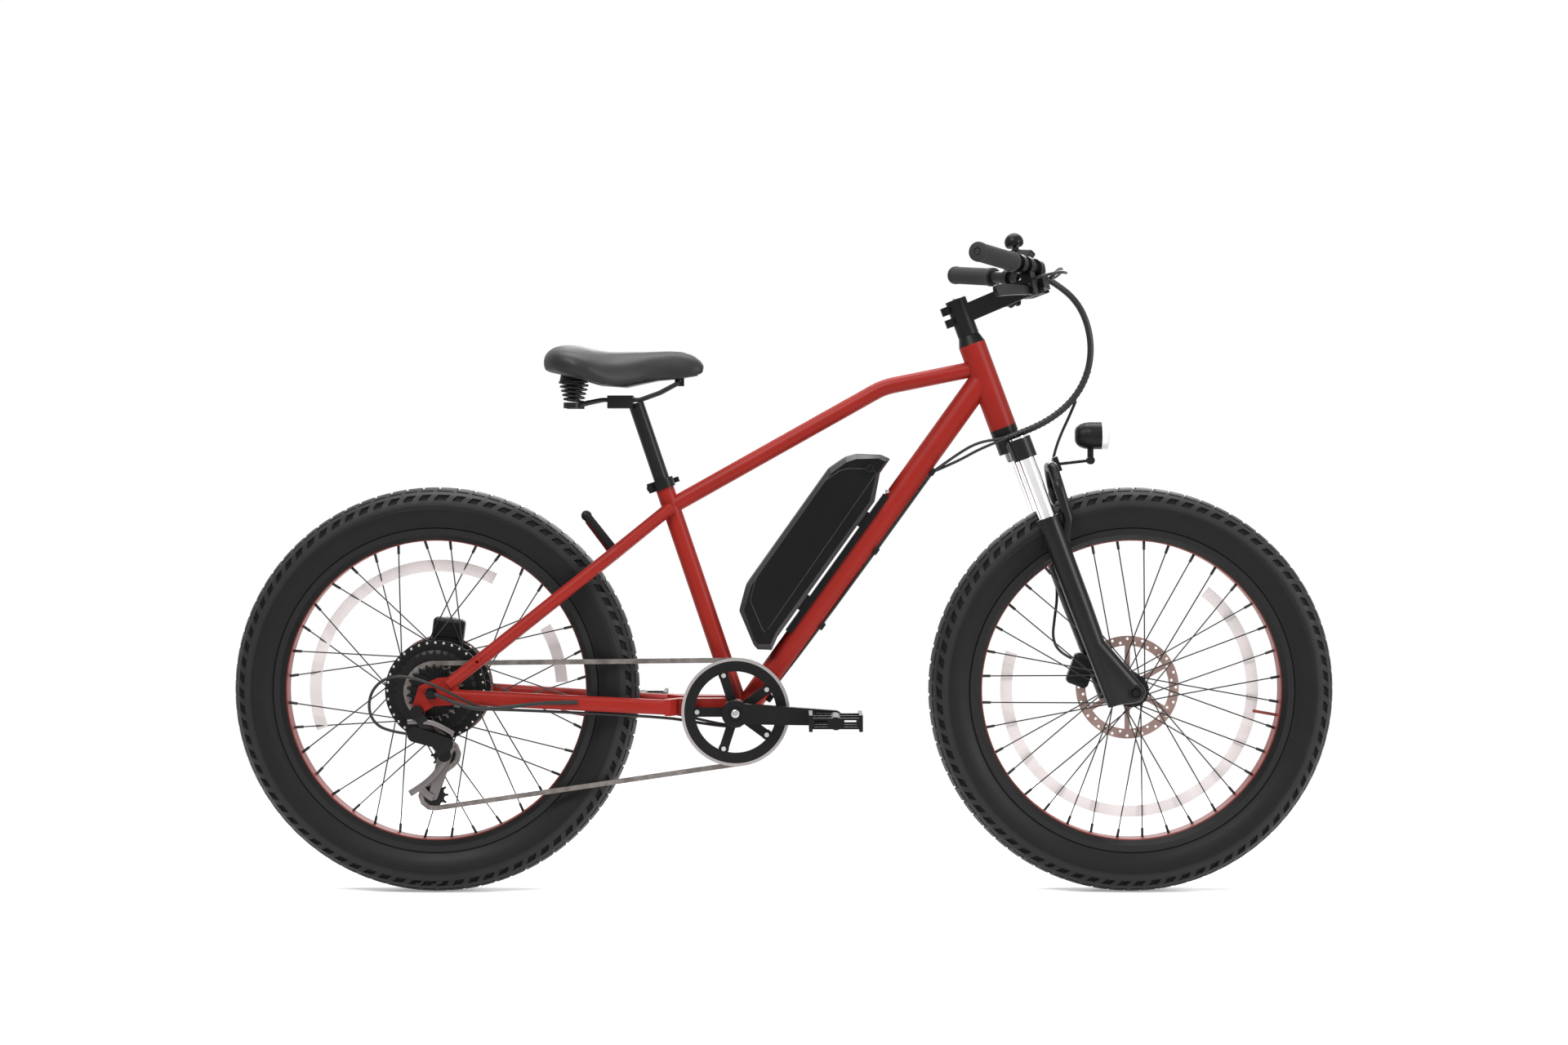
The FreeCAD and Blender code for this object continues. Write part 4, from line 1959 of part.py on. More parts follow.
def main():
    make_wheels()
    make_front_triangle()
    make_rear_triangle()
    make_bearing_cups()
    make_rear_axle()
    make_tail_light()
    make_seat_collar()
    make_seatpost()
    make_saddle()
    make_spring()
    make_battery()
    make_fork_upper()
    make_fork_lowers()
    make_stem()
    make_handlebar()
    make_controls()
    make_headlight()
    make_chain()
    make_cranks()
    make_freewheel()
    make_derailleur()
    make_calipers()
    make_cables()
    os.makedirs("parts", exist_ok=True)
    for name, shape in nodes.items():
        print(name, len(shape.Solids), "solids", shape.isValid(), round(shape.Volume / 1000, 1), "cm3")
        shape.exportStep("parts/" + name + ".step")


main()
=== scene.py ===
import bmesh
import bpy
import json
import math
from mathutils import Matrix, Vector


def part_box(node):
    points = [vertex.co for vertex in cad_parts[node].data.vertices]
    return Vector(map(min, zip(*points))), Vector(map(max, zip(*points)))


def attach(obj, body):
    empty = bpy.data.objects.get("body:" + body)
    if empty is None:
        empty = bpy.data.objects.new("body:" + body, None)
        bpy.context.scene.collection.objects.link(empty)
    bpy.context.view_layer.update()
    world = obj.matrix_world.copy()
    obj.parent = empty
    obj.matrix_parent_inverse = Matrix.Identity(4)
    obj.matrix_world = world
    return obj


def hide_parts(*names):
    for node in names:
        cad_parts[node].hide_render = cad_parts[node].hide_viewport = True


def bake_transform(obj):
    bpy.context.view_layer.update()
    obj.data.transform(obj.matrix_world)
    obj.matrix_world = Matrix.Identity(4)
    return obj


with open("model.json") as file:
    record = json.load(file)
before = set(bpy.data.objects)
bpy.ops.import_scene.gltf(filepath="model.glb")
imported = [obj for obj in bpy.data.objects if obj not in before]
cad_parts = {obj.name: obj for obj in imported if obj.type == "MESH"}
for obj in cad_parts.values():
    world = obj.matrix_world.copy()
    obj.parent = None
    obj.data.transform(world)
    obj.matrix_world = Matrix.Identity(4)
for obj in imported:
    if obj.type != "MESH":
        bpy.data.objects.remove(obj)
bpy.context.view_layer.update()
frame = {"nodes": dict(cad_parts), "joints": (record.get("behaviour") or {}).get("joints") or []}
nodes = frame["nodes"]
scene = bpy.context.scene
print("frame loaded,", len(nodes), "cad pieces")

# pivots and directions, from the joints
joints = {joint["name"]: joint for joint in frame["joints"]}
across = Vector((0, 1, 0))
rearAxle = Vector(joints["rear_wheel_spin"]["pos_m"])
frontAxle = Vector(joints["front_wheel_spin"]["pos_m"])
crankCenter = Vector(joints["crank_spin"]["pos_m"])
steerFoot = Vector(joints["steering"]["pos_m"])
steerUp = Vector(joints["steering"]["axis"])
steerAhead = across.cross(steerUp)
tubeRun = Vector(joints["battery_slide"]["axis"])
tubeOut = tubeRun.cross(across)
tubeFoot = crankCenter + Vector((0.013, 0, -0.004))


# shader helpers
class Wire:
    def __init__(self, tree, socket=None):
        self.tree = tree
        self.socket = socket

    def node(self, kind, settings, sockets, out=0):
        made = self.tree.nodes.new(kind)
        for key, value in settings.items():
            setattr(made, key, value)
        self.feed(made, sockets)
        return Wire(self.tree, made.outputs[out])

    def feed(self, made, sockets):
        for key, value in sockets.items():
            if isinstance(value, Wire):
                self.tree.links.new(value.socket, made.inputs[key])
            else:
                made.inputs[key].default_value = value

    def maths(self, operation, *values):
        return self.node("ShaderNodeMath", {"operation": operation}, dict(enumerate(values)))

    def __add__(self, other):
        return self.maths("ADD", self, other)

    def __radd__(self, other):
        return self.maths("ADD", other, self)

    def __sub__(self, other):
        return self.maths("SUBTRACT", self, other)

    def __rsub__(self, other):
        return self.maths("SUBTRACT", other, self)

    def __mul__(self, other):
        return self.maths("MULTIPLY", self, other)

    def __rmul__(self, other):
        return self.maths("MULTIPLY", other, self)

    def __pow__(self, other):
        return self.maths("POWER", self, other)

    def __rpow__(self, other):
        return self.maths("POWER", other, self)

    def step(self, low, high):
        settings = {"interpolation_type": "SMOOTHSTEP"}
        return self.node("ShaderNodeMapRange", settings, {"Value": self, "From Min": low, "From Max": high})

    def noise(self, scale, detail):
        return self.node("ShaderNodeTexNoise", {}, {"Vector": self, "Scale": scale, "Detail": detail})

    def mix(self, low, high):
        return self.node("ShaderNodeMix", {"data_type": "RGBA"}, {0: self, 6: low, 7: high}, 2)

    def bump(self, distance, strength):
        return self.node("ShaderNodeBump", {}, {"Height": self, "Distance": distance, "Strength": strength})


def newSurface(name):
    material = bpy.data.materials.new(name)
    material.use_nodes = True
    wire = Wire(material.node_tree)
    place = wire.node("ShaderNodeTexCoord", {}, {}, "Object")
    return material, wire, place, material.node_tree.nodes["Principled BSDF"]


def rgba(color, factor=1.0):
    return (*[part * factor for part in color], 1)


def radiusFrom(wire, place, center):
    parts = wire.node("ShaderNodeSeparateXYZ", {}, {0: place})
    x = Wire(wire.tree, parts.socket.node.outputs[0]) - center.x
    z = Wire(wire.tree, parts.socket.node.outputs[2]) - center.z
    return (x * x + z * z) ** 0.5


# one finish: colour blotches, uneven roughness, a fine bump, and a coat on paint
def makeFinish(name, look):
    material, wire, place, shader = newSurface(name)
    blotch = place.noise(look.get("blotch", 14), 4)
    fine = place.noise(look.get("grain", 900), 2)
    shade = look.get("shade", 0.12)
    color = look["color"]
    wire.feed(shader, {
        "Base Color": blotch.step(0.3, 0.7).mix(rgba(color, 1 - shade), rgba(color, 1 + shade)),
        "Roughness": look["rough"] + (blotch - 0.5) * look.get("wear", 0.12),
        "Normal": fine.bump(look.get("depth", 0.00003), look.get("bump", 0.25)),
        "Metallic": look.get("metal", 0.0),
        "Specular IOR Level": look.get("gloss", 0.3),
        "Coat Weight": look.get("coat", 0.0),
        "Coat Roughness": look.get("coatRough", 0.2)})
    return material


looks = {
    "redPaint": {"color": (0.225, 0.0130, 0.0088), "rough": 0.4, "gloss": 0.13, "shade": 0.05, "wear": 0.05},
    "blackPaint": {"color": (0.0062, 0.0062, 0.0065), "rough": 0.34, "gloss": 0.17},
    "blackAlloy": {"color": (0.0062, 0.0060, 0.0063), "rough": 0.36, "gloss": 0.12, "grain": 1400},
    "sprocketBlack": {"color": (0.0060, 0.0060, 0.0060), "rough": 0.4, "gloss": 0.14},
    "greyAlloy": {"color": (0.120, 0.108, 0.106), "rough": 0.38, "metal": 0.5, "gloss": 0.4},
    "steel": {"color": (0.42, 0.41, 0.40), "rough": 0.32, "metal": 1.0},
    "driveSteel": {"color": (0.145, 0.128, 0.120), "rough": 0.40, "metal": 0.8, "shade": 0.25, "blotch": 60},
    "rotorSteel": {"color": (0.26, 0.175, 0.155), "rough": 0.38, "metal": 0.7, "blotch": 40},
    "chrome": {"color": (0.78, 0.77, 0.77), "rough": 0.10, "metal": 1.0, "wear": 0.03, "bump": 0.05},
    "plastic": {"color": (0.0060, 0.0060, 0.0062), "rough": 0.38, "gloss": 0.15, "grain": 1800,
                "depth": 0.00005},
    "caseBlack": {"color": (0.0045, 0.0043, 0.0046), "rough": 0.3, "gloss": 0.12, "grain": 2400,
                  "depth": 0.00002},
    # painted highlight: the battery's bevelled edges and its lines are coloured much lighter than the case,
    # for the light they catch
    "caseEdgeHighlight": {"color": (0.0300, 0.0285, 0.0290), "rough": 0.34, "gloss": 0.34},
    "spokeBlack": {"color": (0.008, 0.008, 0.008), "rough": 0.35},
    "gripRubber": {"color": (0.0150, 0.0140, 0.0138), "rough": 0.7, "grain": 1500, "depth": 0.0001,
                   "bump": 0.4},
    "cableBlack": {"color": (0.0085, 0.0085, 0.0085), "rough": 0.45},
    "cellWrap": {"color": (0.10, 0.20, 0.35), "rough": 0.4},
    "lampRed": {"color": (0.060, 0.006, 0.006), "rough": 0.2, "coat": 0.3},
    "reflector": {"color": (0.60, 0.55, 0.55), "rough": 0.35, "grain": 1200, "depth": 0.0002, "shade": 0.04},
    "screen": {"color": (0.010, 0.012, 0.014), "rough": 0.08, "wear": 0.02, "bump": 0.0, "gloss": 0.5},
    # painted shade for the floors of the tread pockets and grooves
    "treadGapShade": {"color": (0.0052, 0.0050, 0.0052), "rough": 0.7, "gloss": 0.14},
    "bulb": {"color": (0.80, 0.79, 0.77), "rough": 0.3},
}
finish = {name: makeFinish(name, look) for name, look in looks.items()}


# rubber: paler towards the tread, a painted highlight where the shoulder turns up to the light, mixed with
# random dust tone, with fine rings moulded in the sidewall
def rubberMaterial(name, center):
    look = {"dark": (0.0048, 0.0046, 0.0048), "pale": (0.0190, 0.0186, 0.0195), "band": (0.314, 0.322),
            "ringWaves": 900, "ringsFrom": (0.296, 0.300), "ringsTo": (0.304, 0.308)}
    material, wire, place, shader = newSurface(name)
    reach = radiusFrom(wire, place, center)
    dust = place.noise(22, 5)
    fine = place.noise(700, 3)
    ringed = reach.step(*look["ringsFrom"]) * (1 - reach.step(*look["ringsTo"]))
    rings = wire.maths("SINE", reach * look["ringWaves"]) * ringed
    # painted highlight: paler from the shoulder crease outwards, where the tread catches the light, plus
    # random dust tone
    pale = reach.step(*look["band"]) * 0.8 + (dust - 0.5) * 0.5
    wire.feed(shader, {
        "Base Color": pale.mix(rgba(look["dark"]), rgba(look["pale"])),
        "Roughness": 0.5 + (dust - 0.5) * 0.2,
        "Specular IOR Level": 0.15,
        "Normal": (fine + rings * 0.6).bump(0.00015, 0.35)})
    return material


# rim: red bed, black side walls
def rimMaterial(name, center):
    look = {"red": (0.17, 0.030, 0.024), "black": (0.0055, 0.0054, 0.0055), "edge": (0.2594, 0.2600)}
    material, wire, place, shader = newSurface(name)
    reach = radiusFrom(wire, place, center)
    dust = place.noise(30, 4)
    wire.feed(shader, {
        "Base Color": reach.step(*look["edge"]).mix(rgba(look["red"]), rgba(look["black"])),
        "Roughness": 0.42 + (dust - 0.5) * 0.12,
        "Specular IOR Level": 0.22})
    return material


# chain guard: black plate with a bare alloy rim
def ringMaterial():
    look = {"plate": (0.0062, 0.0060, 0.0062), "rim": (0.30, 0.28, 0.275), "edge": (0.0876, 0.0882)}
    material, wire, place, shader = newSurface("chainGuard")
    bare = radiusFrom(wire, place, crankCenter).step(*look["edge"])
    dust = place.noise(30, 4)
    wire.feed(shader, {
        "Base Color": bare.mix(rgba(look["plate"]), rgba(look["rim"])),
        "Roughness": 0.36 + (dust - 0.5) * 0.2,
        "Metallic": bare * 0.6,
        "Specular IOR Level": 0.13})
    return material


# leather-like cover: cells for the grain, creases from a slower noise
def coverMaterial():
    look = {"dark": (0.0075, 0.0066, 0.0066), "pale": (0.0125, 0.0110, 0.0110), "grain": 620}
    material, wire, place, shader = newSurface("saddleCover")
    cells = wire.node("ShaderNodeTexVoronoi", {}, {"Vector": place, "Scale": look["grain"]})
    cloud = place.noise(25, 4)
    wire.feed(shader, {
        "Base Color": cloud.step(0.3, 0.7).mix(rgba(look["dark"]), rgba(look["pale"])),
        "Roughness": 0.5 + (cloud - 0.5) * 0.08,
        "Specular IOR Level": 0.28,
        "Normal": cells.bump(0.0002, 0.14)})
    return material


def clearMaterial(name, color, alpha, rough):
    material, wire, _, shader = newSurface(name)
    wire.feed(shader, {"Base Color": rgba(color), "Alpha": alpha, "Roughness": rough})
    return material


finish["frontRubber"] = rubberMaterial("frontRubber", frontAxle)
finish["rearRubber"] = rubberMaterial("rearRubber", rearAxle)
finish["frontRim"] = rimMaterial("frontRim", frontAxle)
finish["rearRim"] = rimMaterial("rearRim", rearAxle)
finish["guard"] = ringMaterial()
finish["cover"] = coverMaterial()
finish["lens"] = clearMaterial("lens", (0.9, 0.92, 0.95), 0.3, 0.05)
print("materials", len(finish))

dressing = {
    "redPaint": ["front_triangle", "rear_triangle"],
    "blackPaint": ["fork_crown", "fork_lowers", "seatpost", "saddle_rails", "saddle_springs",
                   "headlight_bracket"],
    "blackAlloy": ["stem", "handlebar", "control_brackets", "crank_right", "crank_left", "front_hub",
                   "rear_hub_motor", "seat_collar", "bearing_cups", "front_brake_caliper",
                   "rear_brake_caliper", "pedal_right", "pedal_left", "brake_lever_left",
                   "brake_lever_right", "seat_clamp_lever", "battery_rail", "bell_striker", "front_axle",
                   "rear_axle", "derailleur_body"],
    "guard": ["chainring"],
    "sprocketBlack": ["freewheel"],
    "greyAlloy": ["derailleur_cage"],
    "steel": ["fork_dampers"],
    "driveSteel": ["chain"],
    "rotorSteel": ["front_rotor", "rear_rotor"],
    "chrome": ["fork_stanchions"],
    "plastic": ["saddle_base", "headlight_housing", "shift_lever", "jockey_upper", "jockey_lower",
                "fork_seals", "battery_lock", "tail_light", "display"],
    "caseBlack": ["battery_case"],
    "spokeBlack": ["front_spokes", "rear_spokes"],
    "gripRubber": ["grips"],
    "cableBlack": ["frame_cables", "steering_cables", "front_brake_hose"],
    "cellWrap": ["battery_cells"],
    "frontRubber": ["front_tyre"],
    "rearRubber": ["rear_tyre"],
    "frontRim": ["front_rim"],
    "rearRim": ["rear_rim"],
    "cover": ["saddle_cushion"],
    "lens": ["headlight_lens"],
}
for finishName, names in dressing.items():
    for name in names:
        mesh = nodes[name].data
        mesh.materials.clear()
        mesh.materials.append(finish[finishName])
        mesh.shade_smooth()
        mesh.set_sharp_from_angle(angle=math.radians(32))


# a second finish on some faces of a cad piece
def paintFaces(name, finishName, chosen):
    mesh = nodes[name].data
    mesh.materials.append(finish[finishName])
    for face in mesh.polygons:
        if chosen(face):
            face.material_index = len(mesh.materials) - 1


ringBolts = {"circle": 0.066, "radius": 0.0046, "count": 5}
sprocketBand = (-0.0556, -0.0534)  # the sprocket under the chain, across the bike
# the faces within this sideways slope get the painted highlight colour
caseSlope = (0.15, 0.95)  # how far sideways the battery's edge faces look


def onRingBolt(face):
    spot = face.center - crankCenter
    for k in range(ringBolts["count"]):
        turn = math.pi + 2 * math.pi * k / ringBolts["count"]
        if math.hypot(spot.x - ringBolts["circle"] * math.cos(turn),
                      spot.z - ringBolts["circle"] * math.sin(turn)) < ringBolts["radius"]:
            return True
    return False


paintFaces("chainring", "steel", onRingBolt)
paintFaces("freewheel", "driveSteel", lambda face: sprocketBand[0] < face.center.y < sprocketBand[1])
# the battery's sideways-sloping bevel faces get the painted highlight colour
paintFaces("battery_case", "caseEdgeHighlight", lambda face: caseSlope[0] < abs(face.normal.y) < caseSlope[1])
print("cad pieces dressed")


# mesh helpers
def addPiece(name, bm, finishName, body=None, sharp=40):
    mesh = bpy.data.meshes.new(name)
    bm.to_mesh(mesh)
    bm.free()
    mesh.materials.append(finish[finishName])
    mesh.shade_smooth()
    mesh.set_sharp_from_angle(angle=math.radians(sharp))
    piece = bpy.data.objects.new(name, mesh)
    scene.collection.objects.link(piece)
    if body:
        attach(piece, body)
    return piece


def lathe(profile, base, axis, steps, angle=2 * math.pi, side=None):
    bm = bmesh.new()
    axis = axis.normalized()
    side = side or axis.orthogonal().normalized()
    line = [bm.verts.new(base + axis * along + side * reach) for along, reach in profile]
    edges = [bm.edges.new(pair) for pair in zip(line, line[1:])]
    whole = abs(angle - 2 * math.pi) < 0.001
    bmesh.ops.spin(bm, geom=line + edges, cent=base, axis=axis, angle=angle, steps=steps, use_merge=whole)
    bmesh.ops.remove_doubles(bm, verts=bm.verts, dist=0.000005)
    bmesh.ops.recalc_face_normals(bm, faces=bm.faces)
    return bm


def ballProfile(radius, steps=8):
    turns = [math.pi * k / steps for k in range(steps + 1)]
    return [(-radius * math.cos(turn), radius * math.sin(turn)) for turn in turns]


def addMesh(bm, part):
    mesh = bpy.data.meshes.new("part")
    part.to_mesh(mesh)
    part.free()
    bm.from_mesh(mesh)
    bpy.data.meshes.remove(mesh)


def splineMesh(name, places, radius, rounding=4, smoothing=6):
    curve = bpy.data.curves.new(name, "CURVE")
    curve.dimensions = "3D"
    spline = curve.splines.new("NURBS")
    spline.points.add(len(places) - 1)
    for point, place in zip(spline.points, places):
        point.co = (*place, 1)
    spline.order_u = 3
    spline.use_endpoint_u = True
    curve.resolution_u = smoothing
    curve.bevel_depth = radius
    curve.bevel_resolution = rounding
    curve.use_fill_caps = True
    holder = bpy.data.objects.new(name, curve)
    mesh = bpy.data.meshes.new_from_object(holder)
    bpy.data.objects.remove(holder)
    return mesh


def joinMeshes(meshes):
    bm = bmesh.new()
    for mesh in meshes:
        bm.from_mesh(mesh)
    return bm


# tyres: one lathe, then pockets and grooves are inset below the tread, their floors given a darker finish as
# painted shade
def makeTyre(name, center, body, finishName):
    tyre = {
        "pitches": 78, "columns": 5, "crown": 0.35,
        "depth": 0.0042, "grooveShare": 0.9, "wall": 0.0008,
        "lean": 0.42, "leanFrom": 0.0438, "leanOver": 0.009, "leanMost": 1.6,
        "side": ((0.0300, 0.2716), (0.0306, 0.2724), (0.0307, 0.2796), (0.0322, 0.2808), (0.0330, 0.2838),
                 (0.0368, 0.2894), (0.0405, 0.2980), (0.0428, 0.3070), (0.0436, 0.3138), (0.0430, 0.3148),
                 (0.0434, 0.3158), (0.0432, 0.3220), (0.0415, 0.3282), (0.0386, 0.3338), (0.0350, 0.3380),
                 (0.0312, 0.3408), (0.0272, 0.3431), (0.0236, 0.3449), (0.0180, 0.3471), (0.0120, 0.3487),
                 (0.0060, 0.3497)),
        "pocketRows": (12, 13), "pocketColumns": (0, 1, 2),
        "dashRows": (16,), "dashColumns": (1, 2, 3, 4),
        "crownRows": (18, 19, 20), "crownColumns": (4,)}
    half = tyre["side"]
    profile = [(-y, r) for y, r in half] + [(0, tyre["crown"])] + list(reversed(half))
    steps = tyre["pitches"] * tyre["columns"]
    bm = lathe(profile, center, across, steps, side=Vector((0, 0, 1)))
    last = len(profile) - 2
    middles = [((a[0] + b[0]) / 2, (a[1] + b[1]) / 2) for a, b in zip(profile, profile[1:])]
    pockets, grooves = [], []
    for face in bm.faces:
        spot = face.calc_center_median() - center
        reach = math.hypot(spot.x, spot.z)
        away = [math.hypot(y - spot.y, r - reach) for y, r in middles]
        row = away.index(min(away))
        row = min(row, last - row)
        column = int(math.atan2(spot.z, spot.x) / (2 * math.pi) * steps + steps) % tyre["columns"]
        if row in tyre["pocketRows"] and column in tyre["pocketColumns"]:
            pockets.append(face)
        if row in tyre["dashRows"] and column in tyre["dashColumns"]:
            grooves.append(face)
        if row in tyre["crownRows"] and column in tyre["crownColumns"]:
            grooves.append(face)
    # the pattern leans forward towards the crown
    pitch = 2 * math.pi / tyre["pitches"]
    for vert in bm.verts:
        spot = vert.co - center
        inward = max(0, tyre["leanFrom"] - abs(spot.y)) / tyre["leanOver"]
        turn = tyre["lean"] * pitch * min(inward, tyre["leanMost"])
        c, s = math.cos(turn), math.sin(turn)
        vert.co = center + Vector((spot.x * c + spot.z * s, spot.y, spot.z * c - spot.x * s))
    for faces, share in ((pockets, 1.0), (grooves, tyre["grooveShare"])):
        bmesh.ops.inset_region(bm, faces=faces, thickness=tyre["wall"], depth=-tyre["depth"] * share,
                               use_even_offset=True, use_boundary=True)
    # painted shade: the pocket and groove faces get the darker finish
    for face in pockets + grooves:
        face.material_index = 1
    piece = addPiece(name, bm, finishName, body, 28)
    piece.data.materials.append(finish["treadGapShade"])
    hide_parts(body.replace("wheel", "tyre"))


makeTyre("frontTyreTread", frontAxle, "front_wheel", "frontRubber")
makeTyre("rearTyreTread", rearAxle, "rear_wheel", "rearRubber")
print("tyres")


# pale reflective bands clipped to the spokes
def makeReflector(name, center, body, start, turn):
    band = {"radius": 0.214, "width": 0.020, "thick": 0.0016, "away": -0.016}
    low, high = band["radius"] - band["width"] / 2, band["radius"] + band["width"] / 2
    near, far = band["away"] - band["thick"] / 2, band["away"] + band["thick"] / 2
    loop = [(near, low), (near, high), (far, high), (far, low), (near, low)]
    angle = math.radians(start)
    side = Vector((math.cos(angle), 0, math.sin(angle)))
    bm = lathe(loop, center, -across, max(8, int(abs(turn) / 3)), math.radians(turn), side)
    bmesh.ops.holes_fill(bm, edges=bm.edges, sides=8)
    bmesh.ops.recalc_face_normals(bm, faces=bm.faces)
    addPiece(name, bm, "reflector", body)


makeReflector("frontReflector", frontAxle, "front_wheel", 163, 249)
makeReflector("rearReflectorLong", rearAxle, "rear_wheel", 63, 136)
makeReflector("rearReflectorShort", rearAxle, "rear_wheel", 3, 27)
print("reflectors")


# grips: ribbed sleeve with a collar at the inner end and a cap at the outer one
def makeGrip(name, sign):
    grip = {"end": (0.3149, 0.330, 1.0856), "inward": (0.503, -0.861, -0.0775), "length": 0.125,
            "radius": 0.0150, "rib": 0.0007, "ribs": 22, "ribsFrom": 0.008, "ribsShort": 0.003,
            "collar": 0.0170, "collarLength": 0.012, "collarFoot": 0.002, "collarEdge": 0.001,
            "cap": ((-0.004, 0.0), (-0.004, 0.0045), (-0.0025, 0.0055), (-0.004, 0.0065), (-0.004, 0.0140),
                    (-0.0025, 0.0162), (0.004, 0.0165)), "capEnd": 0.0055, "bore": 0.0112}
    end = Vector(grip["end"]) * Vector((1, sign, 1))
    inward = (Vector(grip["inward"]) * Vector((1, sign, 1))).normalized()
    plain, raised = grip["radius"], grip["radius"] + grip["rib"]
    shoulder = grip["length"] - grip["collarLength"]
    gap = (shoulder - grip["ribsShort"] - grip["ribsFrom"]) / grip["ribs"]
    profile = list(grip["cap"]) + [(grip["capEnd"], plain)]
    for k in range(grip["ribs"]):
        at = grip["ribsFrom"] + gap * k
        for share, reach in ((0, plain), (0.2, raised), (0.65, raised), (0.85, plain)):
            profile.append((at + gap * share, reach))
    length, collar, edge = grip["length"], grip["collar"], grip["collarEdge"]
    profile += [(shoulder - grip["collarFoot"], plain), (shoulder, collar - edge * 0.8)]
    profile += [(shoulder + edge, collar), (length - edge, collar), (length, collar - edge)]
    profile.append((length, grip["bore"]))
    piece = addPiece(name, lathe(profile, end, inward, 48), "gripRubber", "steering", 35)
    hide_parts("grips")


makeGrip("gripRight", -1)
makeGrip("gripLeft", 1)
print("grips")


# saddle cushion: the cad form inflated a little under its cover
def makeCushion():
    pad = {"voxel": 0.005, "pressure": 4.0, "cap": 0.005, "frames": 20, "pinBelow": 0.010,
           "quality": 6, "stretch": 25, "shear": 10, "smoothing": 10, "fill": 0.7}
    bm = bmesh.new()
    bm.from_mesh(nodes["saddle_cushion"].data)
    bmesh.ops.remove_doubles(bm, verts=bm.verts, dist=0.0001)
    piece = addPiece("saddleCushion", bm, "cover", None, 50)
    remesh = piece.modifiers.new("voxels", "REMESH")
    remesh.mode = "VOXEL"
    remesh.voxel_size = pad["voxel"]
    ready = bpy.data.meshes.new_from_object(piece.evaluated_get(bpy.context.evaluated_depsgraph_get()))
    piece.modifiers.clear()
    piece.data = ready
    rest = [vert.co.copy() for vert in ready.vertices]
    low = min(place.z for place in rest)
    held = piece.vertex_groups.new(name="held")
    held.add([k for k, place in enumerate(rest) if place.z < low + pad["pinBelow"]], 1.0, "REPLACE")
    cloth = piece.modifiers.new("cloth", "CLOTH")
    cloth.settings.use_pressure = True
    cloth.settings.uniform_pressure_force = pad["pressure"]
    cloth.settings.effector_weights.gravity = 0
    cloth.settings.vertex_group_mass = "held"
    cloth.settings.quality = pad["quality"]
    cloth.settings.tension_stiffness = pad["stretch"]
    cloth.settings.compression_stiffness = pad["stretch"]
    cloth.settings.shear_stiffness = pad["shear"]
    cloth.point_cache.frame_start = 1
    cloth.point_cache.frame_end = pad["frames"]
    for number in range(1, pad["frames"] + 1):
        scene.frame_set(number)
    ready = bpy.data.meshes.new_from_object(piece.evaluated_get(bpy.context.evaluated_depsgraph_get()))
    piece.modifiers.clear()
    piece.vertex_groups.clear()
    piece.data = ready
    scene.frame_set(1)
    for vert, place in zip(ready.vertices, rest):
        moved = vert.co - place
        if moved.length > pad["cap"]:
            vert.co = place + moved * (pad["cap"] / moved.length)
    bm = bmesh.new()
    bm.from_mesh(ready)
    for _ in range(pad["smoothing"]):
        bmesh.ops.smooth_vert(bm, verts=bm.verts, factor=0.5, use_axis_x=True, use_axis_y=True,
                              use_axis_z=True)
    bm.to_mesh(ready)
    bm.free()
    ready.shade_smooth()
    detail = piece.modifiers.new("detail", "SUBSURF")
    detail.levels = 1
    detail.render_levels = 1
    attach(piece, "saddle")
    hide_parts("saddle_cushion")


makeCushion()
print("saddle cushion")


# springs: the cad coils welded into one piece, which takes the cad piece's place
def makeSprings():
    bm = bmesh.new()
    bm.from_mesh(nodes["saddle_springs"].data)
    bmesh.ops.remove_doubles(bm, verts=bm.verts, dist=0.00001)
    piece = addPiece("saddleSpringCoils", bm, "blackPaint", None, 60)
    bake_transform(piece)
    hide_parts("saddle_springs")


# rubber seats between the springs and the saddle
def makeSpringSeats():
    seat = {"side": 0.040, "radius": 0.022, "height": 0.013, "taper": 0.003, "sink": 0.001}
    low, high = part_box("saddle_springs")
    bm = bmesh.new()
    for side in (-seat["side"], seat["side"]):
        profile = [(-seat["sink"], 0), (-seat["sink"], seat["radius"]),
                   (seat["height"], seat["radius"] - seat["taper"]), (seat["height"], 0)]
        addMesh(bm, lathe(profile, Vector(((low.x + high.x) / 2, side, high.z)), Vector((0, 0, 1)), 32))
    addPiece("springSeats", bm, "plastic", "saddle")


makeSprings()
makeSpringSeats()
print("springs")


# cables: splines along routes that are listed in millimetres
def metres(*places):
    return [Vector(place) / 1000 for place in places]


sleeveRoute = metres(
    (452, -36, 1058), (478, -45, 1042), (506, -52, 1012), (522, -54, 972), (526, -54, 930), (518, -53, 889),
    (497, -51, 852), (464, -48, 822), (424, -44, 800), (380, -38, 784), (336, -28, 768), (298, -14, 746),
    (261.7, 0, 727.8))
rightHoseRoute = metres(
    (417.9, -183, 1050.7), (438, -194.5, 1057), (466, -178, 1062), (476, -140, 1062), (476, -100, 1066),
    (466, -62, 1070), (455, -38, 1058))
leftHoseRoute = metres(
    (417.9, 183, 1050.7), (438, 194.5, 1057), (468, 168, 1065), (484, 114, 1072), (486, 66, 1078),
    (482, 26, 1081), (472, -12, 1076), (455, -35, 1059))
frontHoseRoute = metres(
    (500, -46, 848), (492, -24, 824), (481, 12, 794), (473, 50, 763), (468, 84, 722), (468, 100, 676),
    (472, 103, 620), (478, 102, 560), (483, 100, 508), (477, 96, 466), (472, 80, 434), (482, 62, 410),
    (503.6, 54, 399.7))
